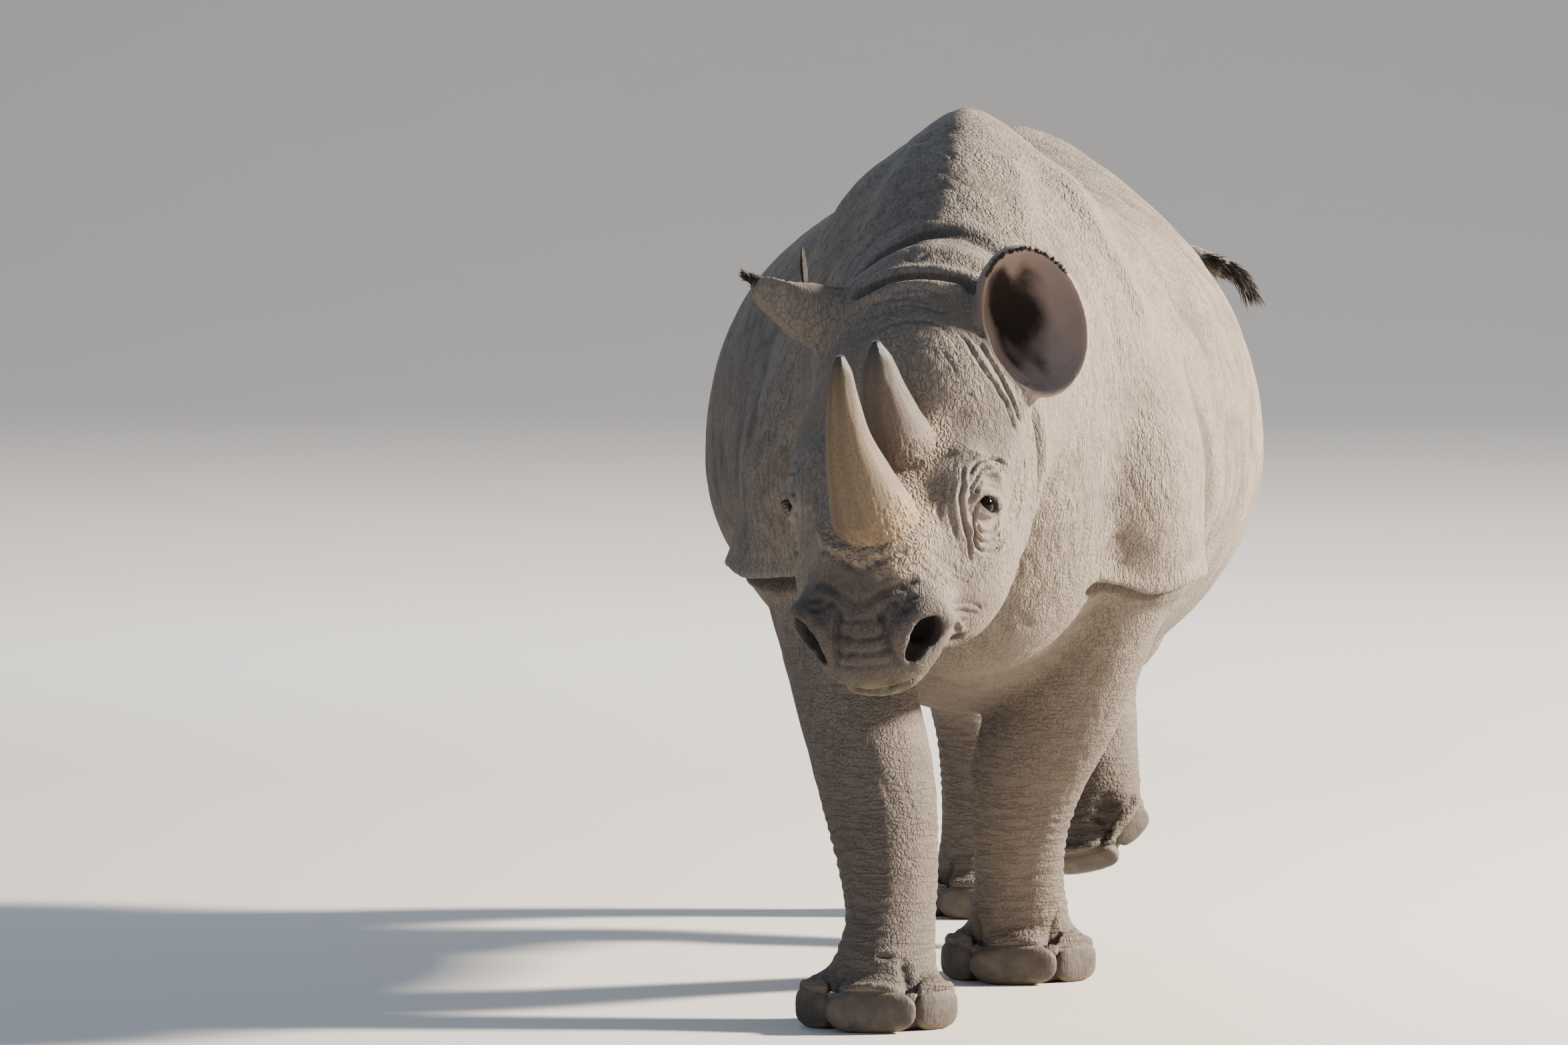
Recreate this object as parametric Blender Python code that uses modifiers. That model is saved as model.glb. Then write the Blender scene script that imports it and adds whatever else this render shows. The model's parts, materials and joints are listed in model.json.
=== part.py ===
"""Walking black rhinoceros, life size: a still display model parted into named solids.

The animal faces -Y, its left side is at +X, and it stands on z = 0. Lengths are in metres. It is
worked out about a point under its back, and moved at the end so that the origin lies on the floor
under the middle of its box.

The flesh is one blended form. Each bone and muscle group is a Mass (an ellipsoid), a Limb (a
profile carried along a path) or the Barrel (the trunk's own profile). Their distances are
smoothly joined, the joined surface is meshed once, and Boolean cuts part it where a person
would name its parts. Horns, eyes, ears, nails and the tail tuft are made on their own, and sit
in sockets cut for them.
"""

import math
from dataclasses import dataclass

import bmesh
import bpy
import numpy as np
from mathutils import Matrix, Vector

# --- Driving dimensions -------------------------------------------------------------------
WITHERS_HEIGHT = 1.59       # top of the shoulder hump
WITHERS_Y = -0.52           # the hump stands over the forelegs
RUMP_HEIGHT = 1.54
BACK_HEIGHT = 1.445         # the dip between hump and rump
BELLY_CLEARANCE = 0.475
BARREL_HALF_WIDTH = 0.505
WIDEST_LEVEL = 0.93         # height at which the barrel is widest

HEAD_ORIGIN = (-0.024, -0.98, 1.212)   # poll, on the axis of the head
HEAD_TURN = 11.0            # degrees to the animal's right
HEAD_PITCH = 47.0           # degrees that the face slopes below the horizon
HEAD_ROLL = 2.0             # degrees that the crown leans to the animal's right

BOX_MIDDLE = (-0.0357, -0.1099)         # middle of the whole animal, which becomes the origin
GAP = 0.0006                # clearance between solids that meet
MESH_STEP = 0.022           # spacing of the grid that the flesh is meshed on
FLESH_TRIANGLES = 3000      # flesh after decimation, before it is parted
EAR_STEP = 0.006
EAR_TRIANGLES = 380
FAR = 1.0                   # distance given to a point that no form is near


# --- Frames -------------------------------------------------------------------------------
@dataclass(frozen=True)
class Frame:
    """A set of axes in the columns of a matrix, their origin, and which axis runs left to right."""

    axes: np.ndarray
    origin: np.ndarray
    side: int = 0

    def to_world(self, point):
        return self.origin + self.axes @ np.asarray(point, float)

    def to_local(self, points):
        return (points - self.origin) @ self.axes

    def mirrored(self, point):
        return tuple(-value if axis == self.side else value for axis, value in enumerate(point))

    def matrix(self):
        """The frame as a 4 by 4 matrix, for placing an object."""
        matrix = Matrix(self.axes.tolist()).to_4x4()
        matrix.translation = Vector(self.origin)
        return matrix


def head_frame():
    """The head's own axes: forward along the face, left, and out of the forehead."""
    facing = Matrix(((0, 1, 0), (-1, 0, 0), (0, 0, 1)))
    pitch = Matrix.Rotation(math.radians(HEAD_PITCH), 3, "Y")
    turn = Matrix.Rotation(-math.radians(HEAD_TURN), 3, "Z")
    roll = Matrix.Rotation(-math.radians(HEAD_ROLL), 3, "Y")
    return Frame(np.array(roll @ turn @ facing @ pitch), np.array(HEAD_ORIGIN), side=1)


WORLD = Frame(np.eye(3), np.zeros(3))
HEAD = head_frame()


# --- Forms: each gives a signed distance, negative inside -----------------------------------
def smooth_curve(stations, count):
    """Rows of numbers resampled by a Catmull-Rom curve through them."""
    rows = np.asarray(stations, float)
    padded = np.vstack([2 * rows[0] - rows[1], rows, 2 * rows[-1] - rows[-2]])
    place = np.linspace(0, len(rows) - 1, count)
    index = np.minimum(place.astype(int), len(rows) - 2)
    t = (place - index)[:, None]
    before, start, end, after = (padded[index + shift] for shift in range(4))
    return 0.5 * (
        2 * start
        + (end - before) * t
        + (2 * before - 5 * start + 4 * end - after) * t**2
        + (3 * start - before - 3 * end + after) * t**3
    )


def ellipsoid_distance(local, radii):
    """Distance to an ellipsoid at the origin, close to exact near its surface."""
    scaled = np.linalg.norm(local / radii, axis=1)
    slope = np.maximum(np.linalg.norm(local / radii**2, axis=1), 1e-6)
    return scaled * (scaled - 1) / slope


@dataclass
class Form:
    """What every form has: the frame that it is given in, and how it joins its neighbours."""

    frame: Frame = WORLD
    blend: float = 0.05
    paired: bool = False    # the same on the other side of the frame's own midline
    cuts: bool = False      # takes material away

    def local_points(self, points):
        """Points in the form's frame, folded onto its positive side for a paired form."""
        local = self.frame.to_local(points)
        if self.paired:
            local[:, self.frame.side] = np.abs(local[:, self.frame.side])
        return local

    def box_round(self, points, reach):
        """The world box that holds balls of a radius at some points of the frame."""
        points = list(points)
        if self.paired:
            points += [self.frame.mirrored(p) for p in points]
        placed = [self.frame.to_world(p) for p in points]
        return np.min(placed, 0) - reach, np.max(placed, 0) + reach


@dataclass
class Mass(Form):
    """An ellipsoid, turned in degrees about its X, then Y, then Z axis."""

    centre: tuple = (0, 0, 0)
    radii: tuple = (1, 1, 1)
    turn: tuple = (0, 0, 0)

    def box(self, margin):
        return self.box_round([self.centre], max(self.radii) + margin)

    def distance(self, points):
        local = self.local_points(points) - np.asarray(self.centre)
        x, y, z = (math.radians(angle) for angle in self.turn)
        turned = Matrix.Rotation(z, 3, "Z") @ Matrix.Rotation(y, 3, "Y") @ Matrix.Rotation(x, 3, "X")
        return ellipsoid_distance(local @ np.array(turned), np.asarray(self.radii, float))


@dataclass
class Limb(Form):
    """An elliptical profile carried along a smooth path. A station is x, y, z, half width, half depth."""

    stations: tuple = ()
    side: tuple = (1, 0, 0)     # the direction that the half width is measured in
    spans: int = 12

    def path(self):
        return smooth_curve(self.stations, self.spans + 1)

    def box(self, margin):
        path = self.path()
        return self.box_round(path[:, :3], path[:, 3:].max() + margin)

    def distance(self, points):
        local = self.local_points(points)
        path = self.path()
        nearest = np.full(len(local), FAR)
        for start, end in zip(path[:-1], path[1:]):
            run = end[:3] - start[:3]
            length = np.linalg.norm(run)
            along = run / length
            across = np.asarray(self.side, float) - np.dot(self.side, along) * along
            across /= np.linalg.norm(across)
            deep = np.cross(along, across)
            offset = local - start[:3]
            share = np.clip(offset @ along / length, 0, 1)
            offset = offset - share[:, None] * run
            radii = start[3:] + share[:, None] * (end[3:] - start[3:])
            parts = np.stack([offset @ across, offset @ deep, offset @ along], 1)
            sizes = np.stack([radii[:, 0], radii[:, 1], radii.min(1)], 1)
            np.minimum(nearest, ellipsoid_distance(parts, sizes), out=nearest)
        return nearest


@dataclass
class Barrel(Form):
    """The trunk: rounded sections along Y. A station is y, top, bottom, half width, how far the
    spine bends sideways, and the roundness above the widest level: 2 is an ellipse, less a roof."""

    stations: tuple = ()
    level: float = WIDEST_LEVEL
    below: float = 1.8          # roundness below the widest level
    samples: int = 160

    def box(self, margin):
        rows = np.asarray(self.stations, float)
        wide = rows[:, 3].max() + np.abs(rows[:, 4]).max() + margin
        low = (-wide, rows[:, 0].min() - margin, rows[:, 2].min() - margin)
        high = (wide, rows[:, 0].max() + margin, rows[:, 1].max() + margin)
        return np.array(low), np.array(high)

    def distance(self, points):
        rows = smooth_curve(self.stations, self.samples)
        x, y, z = points.T
        top, bottom, half, middle, above = (
            np.interp(y, rows[:, 0], rows[:, column]) for column in range(1, 6)
        )
        room = 0.3 * (top - bottom)
        level = np.clip(self.level, bottom + room, top - room)
        rise = z - level
        height = np.where(rise > 0, top - level, level - bottom)
        power = np.where(rise > 0, above, self.below)
        across = np.abs(x - middle) / half
        ratio = (across**power + (np.abs(rise) / height) ** power) ** (1 / power)
        reach = np.hypot(x - middle, rise)
        inside = np.where(ratio < 1e-3, -np.minimum(half, height), reach - reach / np.maximum(ratio, 1e-3))
        beyond = np.maximum(rows[0, 0] - y, y - rows[-1, 0])
        return np.maximum(inside, beyond)


# --- Surface of the joined forms ------------------------------------------------------------
def join(first, second, blend):
    """The smaller of two distances, with a fillet where they are within a blend of each other."""
    overlap = np.clip(blend - np.abs(first - second), 0, None) / blend
    return np.minimum(first, second) - overlap**2 * blend / 4


def field_of(forms, axes):
    """Signed distance on a grid. Each form is worked out only near itself."""
    field = np.full([len(a) for a in axes], FAR)
    step = max(np.diff(a).max() for a in axes)
    for form in sorted(forms, key=lambda f: f.cuts):
        low, high = form.box(form.blend + 2 * step)
        spans = [slice(*np.searchsorted(a, (l, h))) for a, l, h in zip(axes, low, high)]
        near = [a[s] for a, s in zip(axes, spans)]
        if min(len(a) for a in near) == 0:
            continue
        points = np.stack(np.meshgrid(*near, indexing="ij"), -1).reshape(-1, 3)
        distance = form.distance(points).reshape([len(a) for a in near])
        part = field[tuple(spans)]
        if form.cuts:
            field[tuple(spans)] = -join(-part, distance, form.blend)
        else:
            field[tuple(spans)] = join(part, distance, form.blend)
    return field


CORNERS = np.array([(i, j, k) for i in (0, 1) for j in (0, 1) for k in (0, 1)])
PAIRS = [(a, b) for a in range(8) for b in range(a + 1, 8)]
EDGES = [(a, b) for a, b in PAIRS if np.abs(CORNERS[a] - CORNERS[b]).sum() == 1]


def surface_of(field, axes):
    """Points and four-sided faces of the zero surface: one point for each cell that the surface
    crosses, at the mean of its edge crossings, and one face for each grid edge that it crosses."""
    inside = field < 0
    size = np.array(field.shape)
    count = np.zeros(size - 1, np.int8)
    for i, j, k in CORNERS:
        count += inside[i : size[0] - 1 + i, j : size[1] - 1 + j, k : size[2] - 1 + k]
    cells = np.argwhere((count > 0) & (count < 8))
    number = np.full(size - 1, -1, np.int64)
    number[tuple(cells.T)] = np.arange(len(cells))
    corners = [cells + c for c in CORNERS]
    values = np.stack([field[tuple(at.T)] for at in corners], 1)
    places = np.stack([np.stack([axes[n][at[:, n]] for n in range(3)], 1) for at in corners], 1)
    total = np.zeros((len(cells), 3))
    crossings = np.zeros(len(cells))
    for a, b in EDGES:
        crossed = (values[:, a] < 0) != (values[:, b] < 0)
        share = np.where(crossed, values[:, a] / np.where(crossed, values[:, a] - values[:, b], 1), 0)
        point = places[:, a] + share[:, None] * (places[:, b] - places[:, a])
        total += np.where(crossed[:, None], point, 0)
        crossings += crossed
    faces = []
    for n in range(3):
        start = np.moveaxis(inside, n, 0)[:-1]
        end = np.moveaxis(inside, n, 0)[1:]
        edge = np.argwhere(start != end)
        leaving = start[tuple(edge.T)]
        edge = edge[:, [[0, 1, 2], [1, 0, 2], [1, 2, 0]][n]]
        one, two = np.eye(3, dtype=int)[(n + 1) % 3], np.eye(3, dtype=int)[(n + 2) % 3]
        around = (one + two, two, np.zeros(3, int), one)
        ring = np.stack([number[tuple((edge - shift).T)] for shift in around], 1)
        ring[~leaving] = ring[~leaving][:, ::-1]
        faces.append(ring)
    return total / crossings[:, None], np.vstack(faces)


def even_axes(forms, step):
    """A grid that holds every form, with the step given."""
    boxes = [form.box(form.blend / 4 + 2 * step) for form in forms if not form.cuts]
    low, high = np.min([b[0] for b in boxes], 0), np.max([b[1] for b in boxes], 0)
    return [np.arange(l, h + step, step) for l, h in zip(low, high)]


# --- The animal's forms --------------------------------------------------------------------
def trunk_forms():
    """Barrel, hump, shoulder blades, brisket and hips."""
    stations = (
        # y, top, bottom, half width, sideways, roundness above
        (-1.00, 1.22, 0.92, 0.05, -0.005, 2.0),
        (-0.92, 1.34, 0.78, 0.17, -0.005, 2.0),
        (-0.78, 1.48, 0.66, 0.25, 0.0, 1.75),
        (WITHERS_Y, WITHERS_HEIGHT, 0.56, 0.33, -0.006, 1.62),
        (-0.25, 1.53, 0.50, 0.42, -0.015, 1.7),
        (0.08, BACK_HEIGHT, BELLY_CLEARANCE, BARREL_HALF_WIDTH, -0.035, 2.25),
        (0.40, 1.48, 0.49, 0.50, -0.03, 2.1),
        (0.72, RUMP_HEIGHT, 0.585, 0.435, -0.015, 1.62),
        (0.98, 1.45, 0.70, 0.34, -0.01, 1.85),
        (1.16, 1.30, 0.76, 0.22, -0.005, 2.0),
        (1.27, 1.12, 0.92, 0.06, 0.0, 2.0),
    )
    return [
        Barrel(stations=stations, blend=0.06),
        Mass(centre=(0.23, -0.52, 1.12), radii=(0.10, 0.17, 0.34), turn=(0, -14, 0), blend=0.10,
             paired=True),
        Mass(centre=(0.30, -0.46, 0.93), radii=(0.105, 0.22, 0.20), blend=0.08, paired=True),
        Mass(centre=(0, -0.74, 0.80), radii=(0.20, 0.18, 0.19), blend=0.10),
        Mass(centre=(0.255, 0.79, 0.93), radii=(0.14, 0.235, 0.32), turn=(-12, -4, 0), blend=0.08,
             paired=True),
    ]


def neck_forms():
    """The neck, from the shoulders to the back of the head, and the roll of hide behind the ears."""
    neck = (
        (0, -0.55, 1.13, 0.29, 0.40),
        (0, -0.75, 1.11, 0.255, 0.335),
        (-0.01, -0.92, 1.10, 0.225, 0.265),
        (-0.025, -1.08, 1.07, 0.19, 0.21),
    )
    roll = (
        (-0.185, -1.02, 1.20, 0.035, 0.03),
        (-0.12, -1.03, 1.275, 0.045, 0.035),
        (-0.02, -1.02, 1.315, 0.05, 0.04),
        (0.07, -1.035, 1.285, 0.045, 0.035),
        (0.125, -1.05, 1.21, 0.035, 0.03),
    )
    return [
        Limb(stations=neck, blend=0.06, spans=9),
        Limb(stations=roll, side=(0, 1, 0), blend=0.05, spans=12),
    ]


def head_forms():
    """Skull, cheeks, brows, horn bosses, muzzle, lips and chin, in the head's own axes."""
    skull = (
        (0.06, 0, -0.020, 0.125, 0.130),
        (0.16, 0, -0.040, 0.145, 0.150),
        (0.28, 0, -0.055, 0.155, 0.160),
        (0.40, 0, -0.055, 0.150, 0.158),
        (0.50, 0, -0.045, 0.133, 0.148),
        (0.575, 0, -0.045, 0.116, 0.125),
        (0.630, 0, -0.050, 0.098, 0.095),
    )

    def on_head(centre, radii, turn=(0, 0, 0), blend=0.04, paired=False):
        return Mass(centre=centre, radii=radii, turn=turn, frame=HEAD, blend=blend, paired=paired)

    return [
        Limb(stations=skull, side=(0, 1, 0), frame=HEAD, blend=0.05, spans=14),
        on_head((0.045, 0, 0.090), (0.06, 0.115, 0.067), blend=0.06),                   # crown
        on_head((0.32, 0.130, 0.000), (0.15, 0.062, 0.050), (0, 0, -5), 0.06, True),    # cheekbones
        on_head((0.32, 0.118, -0.115), (0.18, 0.076, 0.105), (0, 0, -6), 0.07, True),   # jaw muscles
        on_head((0.46, 0.112, -0.118), (0.12, 0.066, 0.075), (0, 0, -8), 0.05, True),   # cheeks
        on_head((0.37, 0.112, 0.050), (0.07, 0.045, 0.035), paired=True),               # brows
        on_head((0.345, 0, 0.072), (0.09, 0.085, 0.045), blend=0.05),                   # rear horn boss
        on_head((0.515, 0, 0.060), (0.10, 0.088, 0.065), blend=0.05),                   # front horn boss
        on_head((0.615, 0.088, -0.020), (0.055, 0.045, 0.058), paired=True),            # nostril wings
        on_head((0.655, 0, -0.070), (0.050, 0.080, 0.042)),                             # upper lip
        on_head((0.672, 0, -0.098), (0.032, 0.040, 0.030), blend=0.03),                 # its hooked tip
        on_head((0.600, 0, -0.148), (0.075, 0.068, 0.034), blend=0.03),                 # chin
    ]


def foreleg_forms():
    """The right foreleg reaches forward and the left trails. Shoulder hide overhangs both."""
    right = (
        (-0.275, -0.45, 0.84, 0.130, 0.170),
        (-0.235, -0.50, 0.70, 0.118, 0.140),
        (-0.192, -0.60, 0.55, 0.108, 0.115),
        (-0.148, -0.685, 0.41, 0.104, 0.105),
        (-0.122, -0.745, 0.28, 0.089, 0.092),
        (-0.112, -0.795, 0.17, 0.078, 0.088),
        (-0.120, -0.84, 0.08, 0.093, 0.102),
    )
    left = (
        (0.275, -0.43, 0.84, 0.130, 0.170),
        (0.224, -0.41, 0.71, 0.118, 0.145),
        (0.149, -0.35, 0.53, 0.113, 0.125),
        (0.092, -0.27, 0.416, 0.107, 0.110),
        (0.066, -0.195, 0.30, 0.088, 0.093),
        (0.058, -0.125, 0.19, 0.080, 0.088),
        (0.053, -0.07, 0.08, 0.095, 0.102),
    )
    fold_right = (
        (-0.40, -0.36, 0.80, 0.05, 0.04),
        (-0.37, -0.52, 0.80, 0.05, 0.04),
        (-0.27, -0.62, 0.81, 0.05, 0.04),
    )
    fold_left = (
        (0.36, -0.36, 0.79, 0.05, 0.04),
        (0.33, -0.52, 0.78, 0.05, 0.04),
        (0.22, -0.63, 0.81, 0.05, 0.04),
    )
    return [
        Limb(stations=right, blend=0.03, spans=15),
        Limb(stations=left, blend=0.03, spans=15),
        Limb(stations=fold_right, side=(0, 0, 1), blend=0.05, spans=6),
        Limb(stations=fold_left, side=(0, 0, 1), blend=0.05, spans=6),
    ]


def hindleg_forms():
    """The right hind leg stands. The left is swung forward with its toes hanging down. Each has a
    knee that bulges out of the flank."""
    right = (
        (-0.23, 0.80, 0.95, 0.150, 0.270),
        (-0.225, 0.86, 0.80, 0.120, 0.245),
        (-0.190, 0.93, 0.62, 0.098, 0.165),
        (-0.148, 1.07, 0.46, 0.080, 0.108),
        (-0.128, 1.10, 0.31, 0.072, 0.082),
        (-0.122, 1.10, 0.17, 0.072, 0.080),
        (-0.122, 1.11, 0.08, 0.085, 0.095),
    )
    left = (
        (0.21, 0.70, 0.95, 0.145, 0.265),
        (0.205, 0.66, 0.79, 0.108, 0.240),
        (0.170, 0.65, 0.63, 0.090, 0.165),
        (0.135, 0.75, 0.49, 0.077, 0.102),
        (0.145, 0.69, 0.39, 0.071, 0.078),
        (0.150, 0.62, 0.31, 0.076, 0.076),
    )
    return [
        Limb(stations=right, blend=0.05, spans=15),
        Limb(stations=left, blend=0.05, spans=13),
        Mass(centre=(-0.245, 0.66, 0.70), radii=(0.095, 0.15, 0.17), turn=(-25, 0, 0), blend=0.06),
        Mass(centre=(0.205, 0.54, 0.69), radii=(0.085, 0.15, 0.16), turn=(-25, 0, 0), blend=0.06),
    ]


@dataclass(frozen=True)
class Foot:
    """A foot: the middle of its sole, its size, and how far its toes hang down and its left side
    is rolled down, in degrees. In its frame X runs left to right, Y back from the toes and Z up
    from the sole."""

    name: str
    sole: tuple
    size: float             # half the width across the toes
    droop: float = 0
    roll: float = 0

    def frame(self):
        droop = Matrix.Rotation(math.radians(self.droop), 3, "X")
        roll = Matrix.Rotation(math.radians(self.roll), 3, "Y")
        return Frame(np.array(droop @ roll), np.array(self.sole))

    def forms(self):
        """Heel pad, middle toe and two side toes."""

        def on_foot(centre, radii, blend, paired=False):
            centre, radii = (tuple(self.size * value for value in values) for values in (centre, radii))
            return Mass(centre=centre, radii=radii, frame=self.frame(), blend=blend, paired=paired)

        return [
            on_foot((0, 0.02, 0.30), (0.86, 0.98, 0.55), 0.04),
            on_foot((0, -0.55, 0.28), (0.62, 0.50, 0.46), 0.015),
            on_foot((0.66, -0.12, 0.28), (0.36, 0.58, 0.48), 0.015, True),
        ]


FEET = (
    Foot("front_right", (-0.128, -0.855, 0.0), 0.127),
    Foot("front_left", (0.053, -0.055, 0.0), 0.127),
    Foot("hind_right", (-0.122, 1.10, 0.0), 0.112),
    Foot("hind_left", (0.140, 0.60, 0.222), 0.108, droop=45, roll=-18),
)


def tail_forms():
    """The tail, swung out to the animal's left."""
    stations = (
        (0.00, 1.12, 1.22, 0.055, 0.060),
        (0.05, 1.26, 1.25, 0.036, 0.040),
        (0.17, 1.33, 1.275, 0.026, 0.030),
        (0.28, 1.31, 1.272, 0.021, 0.026),
        (0.345, 1.28, 1.250, 0.016, 0.021),
    )
    return [Limb(stations=stations, side=(0, 1, 0), blend=0.05, spans=12)]


def flesh_forms():
    forms = trunk_forms() + neck_forms() + head_forms() + foreleg_forms() + hindleg_forms() + tail_forms()
    for foot in FEET:
        forms += foot.forms()
    return forms


@dataclass(frozen=True)
class Ear:
    """A trumpet of hide: a stalk from the crown that opens into a dish. In its frame X runs across
    the dish, Y along its long side and Z out of the opening."""

    name: str
    root: tuple             # where the stalk leaves the crown
    middle: tuple           # centre of the dish
    long_side: tuple        # direction of the dish's long side
    facing: tuple           # direction that the opening faces
    half_length: float
    half_width: float
    depth: float = 0.075
    wall: float = 0.014
    stalk: float = 0.050    # radius of the stalk
    tips: tuple = ()        # thin points of the rim: centre, radii and turn of each

    def frame(self):
        out = Vector(self.facing).normalized()
        long = Vector(self.long_side)
        long = (long - long.dot(out) * out).normalized()
        axes = np.array([long.cross(out), long, out]).T
        return Frame(axes, np.array(self.middle))

    def forms(self):
        """Dish and stalk, less the hollow, with the points of the rim."""
        frame, wall = self.frame(), self.wall
        root = self.root
        behind = frame.to_world((0, -0.1 * self.half_length, -0.55 * self.depth))
        middle = 0.5 * (np.array(root) + behind)
        thick = self.stalk
        stalk = ((*root, 1.1 * thick, 1.1 * thick), (*middle, thick, thick), (*behind, thick, thick))
        outer = (self.half_width, self.half_length, self.depth)
        inner = (self.half_width - wall * 0.75, self.half_length - wall * 0.75, self.depth + 0.055 - wall)
        return [
            Mass(radii=outer, frame=frame, blend=0.02),
            Limb(stations=stalk, side=(0.3, 0.9, 0.1), blend=0.04, spans=4),
            Mass(centre=(0, 0, 0.055), radii=inner, frame=frame, blend=0.018, cuts=True),
        ] + [Mass(centre=centre, radii=radii, turn=turn, blend=0.008) for centre, radii, turn in self.tips]


EARS = (
    Ear("left", root=(0.075, -1.06, 1.185), middle=(0.161, -1.135, 1.236), long_side=(-0.33, 0, 0.95),
        facing=(0.28, -0.93, -0.05), half_length=0.135, half_width=0.094),
    Ear("right", root=(-0.130, -1.05, 1.205), middle=(-0.232, -1.03, 1.257),
        long_side=(-0.89, -0.19, 0.42), facing=(0.15, 0.62, 0.77), half_length=0.106,
        half_width=0.060, depth=0.044, wall=0.012, stalk=0.042,
        tips=(((-0.322, -1.050, 1.302), (0.028, 0.012, 0.0085), (0, 18, 0)),
              ((-0.243, -0.995, 1.312), (0.0065, 0.028, 0.046), (0, -4, 0)))),
)


def ear_forms():
    return [form for ear in EARS for form in ear.forms()]


# --- Horns, eyes, nails and tuft: sizes ------------------------------------------------------
# A horn's stations: forward along the face, left, out of the forehead, radius.
HORNS = {
    "front": ((0.505, 0.012, 0.060, 0.074), (0.505, 0.012, 0.130, 0.068), (0.500, 0.010, 0.200, 0.056),
              (0.482, 0.006, 0.280, 0.0395), (0.450, 0.007, 0.350, 0.027), (0.424, 0.009, 0.392, 0.0175),
              (0.408, 0.010, 0.415, 0.006)),
    "rear": ((0.340, 0.020, 0.055, 0.074), (0.340, 0.020, 0.110, 0.067), (0.334, 0.021, 0.160, 0.054),
             (0.322, 0.022, 0.215, 0.0405), (0.308, 0.022, 0.255, 0.0312), (0.297, 0.024, 0.282, 0.0204),
             (0.284, 0.024, 0.307, 0.005)),
}
EYE_PLACE = (0.402, 0.015)      # forward along the face, and out of the forehead
EYE_RADIUS = 0.019
EYE_DEPTH = 0.012               # centre of the eye below the surface of the head
NAILS = {"inner": (-0.80, -0.44, -46), "middle": (0.0, -1.00, 0), "outer": (0.80, -0.44, 46)}
TUFT = ((0.338, 1.284, 1.254), (0.377, 1.270, 1.232), (0.397, 1.262, 1.185))

# Parting cuts: a point on the cut, the direction across it, and half the size of the cutting plate
CUTS = (
    ((0, -1.02, 1.07), (0, -0.98, -0.20), (0.40, 0.34)),        # head from neck
    ((0, -0.79, 1.10), (0, -0.98, 0.19), (0.46, 0.55)),         # neck from trunk
    ((-0.19, -0.61, 0.540), (0, 0, 1), (0.17, 0.17)),           # right foreleg: below the chest,
    ((-0.140, -0.70, 0.350), (0, 0, 1), (0.17, 0.17)),          # below the knee
    ((-0.115, -0.82, 0.125), (0, 0, 1), (0.17, 0.17)),          # and above the foot
    ((0.13, -0.31, 0.465), (0, 0, 1), (0.15, 0.17)),            # left foreleg
    ((0.078, -0.23, 0.340), (0, 0, 1), (0.15, 0.17)),
    ((0.056, -0.10, 0.125), (0, 0, 1), (0.17, 0.17)),
    ((-0.165, 0.99, 0.535), (0, 0, 1), (0.16, 0.22)),           # right hind leg
    ((-0.134, 1.09, 0.355), (0, 0, 1), (0.16, 0.17)),
    ((-0.122, 1.10, 0.125), (0, 0, 1), (0.16, 0.17)),
    ((0.145, 0.74, 0.475), (0, 0, 1), (0.15, 0.22)),            # left hind leg
    ((0.150, 0.635, 0.325), (0, 0.65, 0.76), (0.14, 0.15)),
    ((0.085, 1.290, 1.256), (0.9, 0.42, 0.1), (0.09, 0.09)),    # tail from trunk
)

# A point near the middle of each solid that the cuts leave
PIECES = {
    "trunk": (0, 0.2, 1.0),
    "neck": (0, -0.9, 1.1),
    "head": (-0.06, -1.2, 0.93),
    "tail": (0.24, 1.32, 1.265),
    "leg_front_right_upper": (-0.17, -0.65, 0.45),
    "leg_front_right_lower": (-0.12, -0.77, 0.24),
    "foot_front_right": (-0.125, -0.86, 0.06),
    "leg_front_left_upper": (0.10, -0.28, 0.40),
    "leg_front_left_lower": (0.065, -0.16, 0.24),
    "foot_front_left": (0.055, -0.06, 0.06),
    "leg_hind_right_upper": (-0.145, 1.05, 0.44),
    "leg_hind_right_lower": (-0.125, 1.10, 0.24),
    "foot_hind_right": (-0.12, 1.10, 0.06),
    "leg_hind_left_lower": (0.15, 0.68, 0.38),
    "foot_hind_left": (0.145, 0.58, 0.24),
}


# --- Blender tools ---------------------------------------------------------------------------
def clear_scene():
    for thing in list(bpy.data.objects):
        bpy.data.objects.remove(thing)


def collection(name):
    made = bpy.data.collections.new(name)
    bpy.context.scene.collection.children.link(made)
    return made


def material(name, colour, roughness):
    made = bpy.data.materials.new(name)
    made.use_nodes = True
    shader = made.node_tree.nodes["Principled BSDF"]
    shader.inputs["Base Color"].default_value = (*colour, 1)
    shader.inputs["Roughness"].default_value = roughness
    shader.inputs["Metallic"].default_value = 0.0
    return made


def mesh_object(name, mesh, home):
    made = bpy.data.objects.new(name, mesh)
    home.objects.link(made)
    return made


def settle(thing):
    """Replace an object's mesh by the mesh that its modifiers and its place make."""
    bpy.context.view_layer.update()
    evaluated = thing.evaluated_get(bpy.context.evaluated_depsgraph_get())
    mesh = bpy.data.meshes.new_from_object(evaluated)
    mesh.transform(thing.matrix_world)
    if thing.type != "MESH":
        name, home = thing.name, thing.users_collection[0]
        bpy.data.objects.remove(thing)
        return mesh_object(name, mesh, home)
    thing.modifiers.clear()
    thing.data = mesh
    thing.matrix_world = Matrix.Identity(4)
    return thing


def tidy(thing, distance=1e-5):
    """Weld a mesh's doubles and turn its faces outwards."""
    shape = bmesh.new()
    shape.from_mesh(thing.data)
    bmesh.ops.remove_doubles(shape, verts=shape.verts, dist=distance)
    bmesh.ops.dissolve_degenerate(shape, edges=shape.edges, dist=distance)
    bmesh.ops.recalc_face_normals(shape, faces=shape.faces)
    shape.to_mesh(thing.data)
    shape.free()
    return thing


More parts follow.
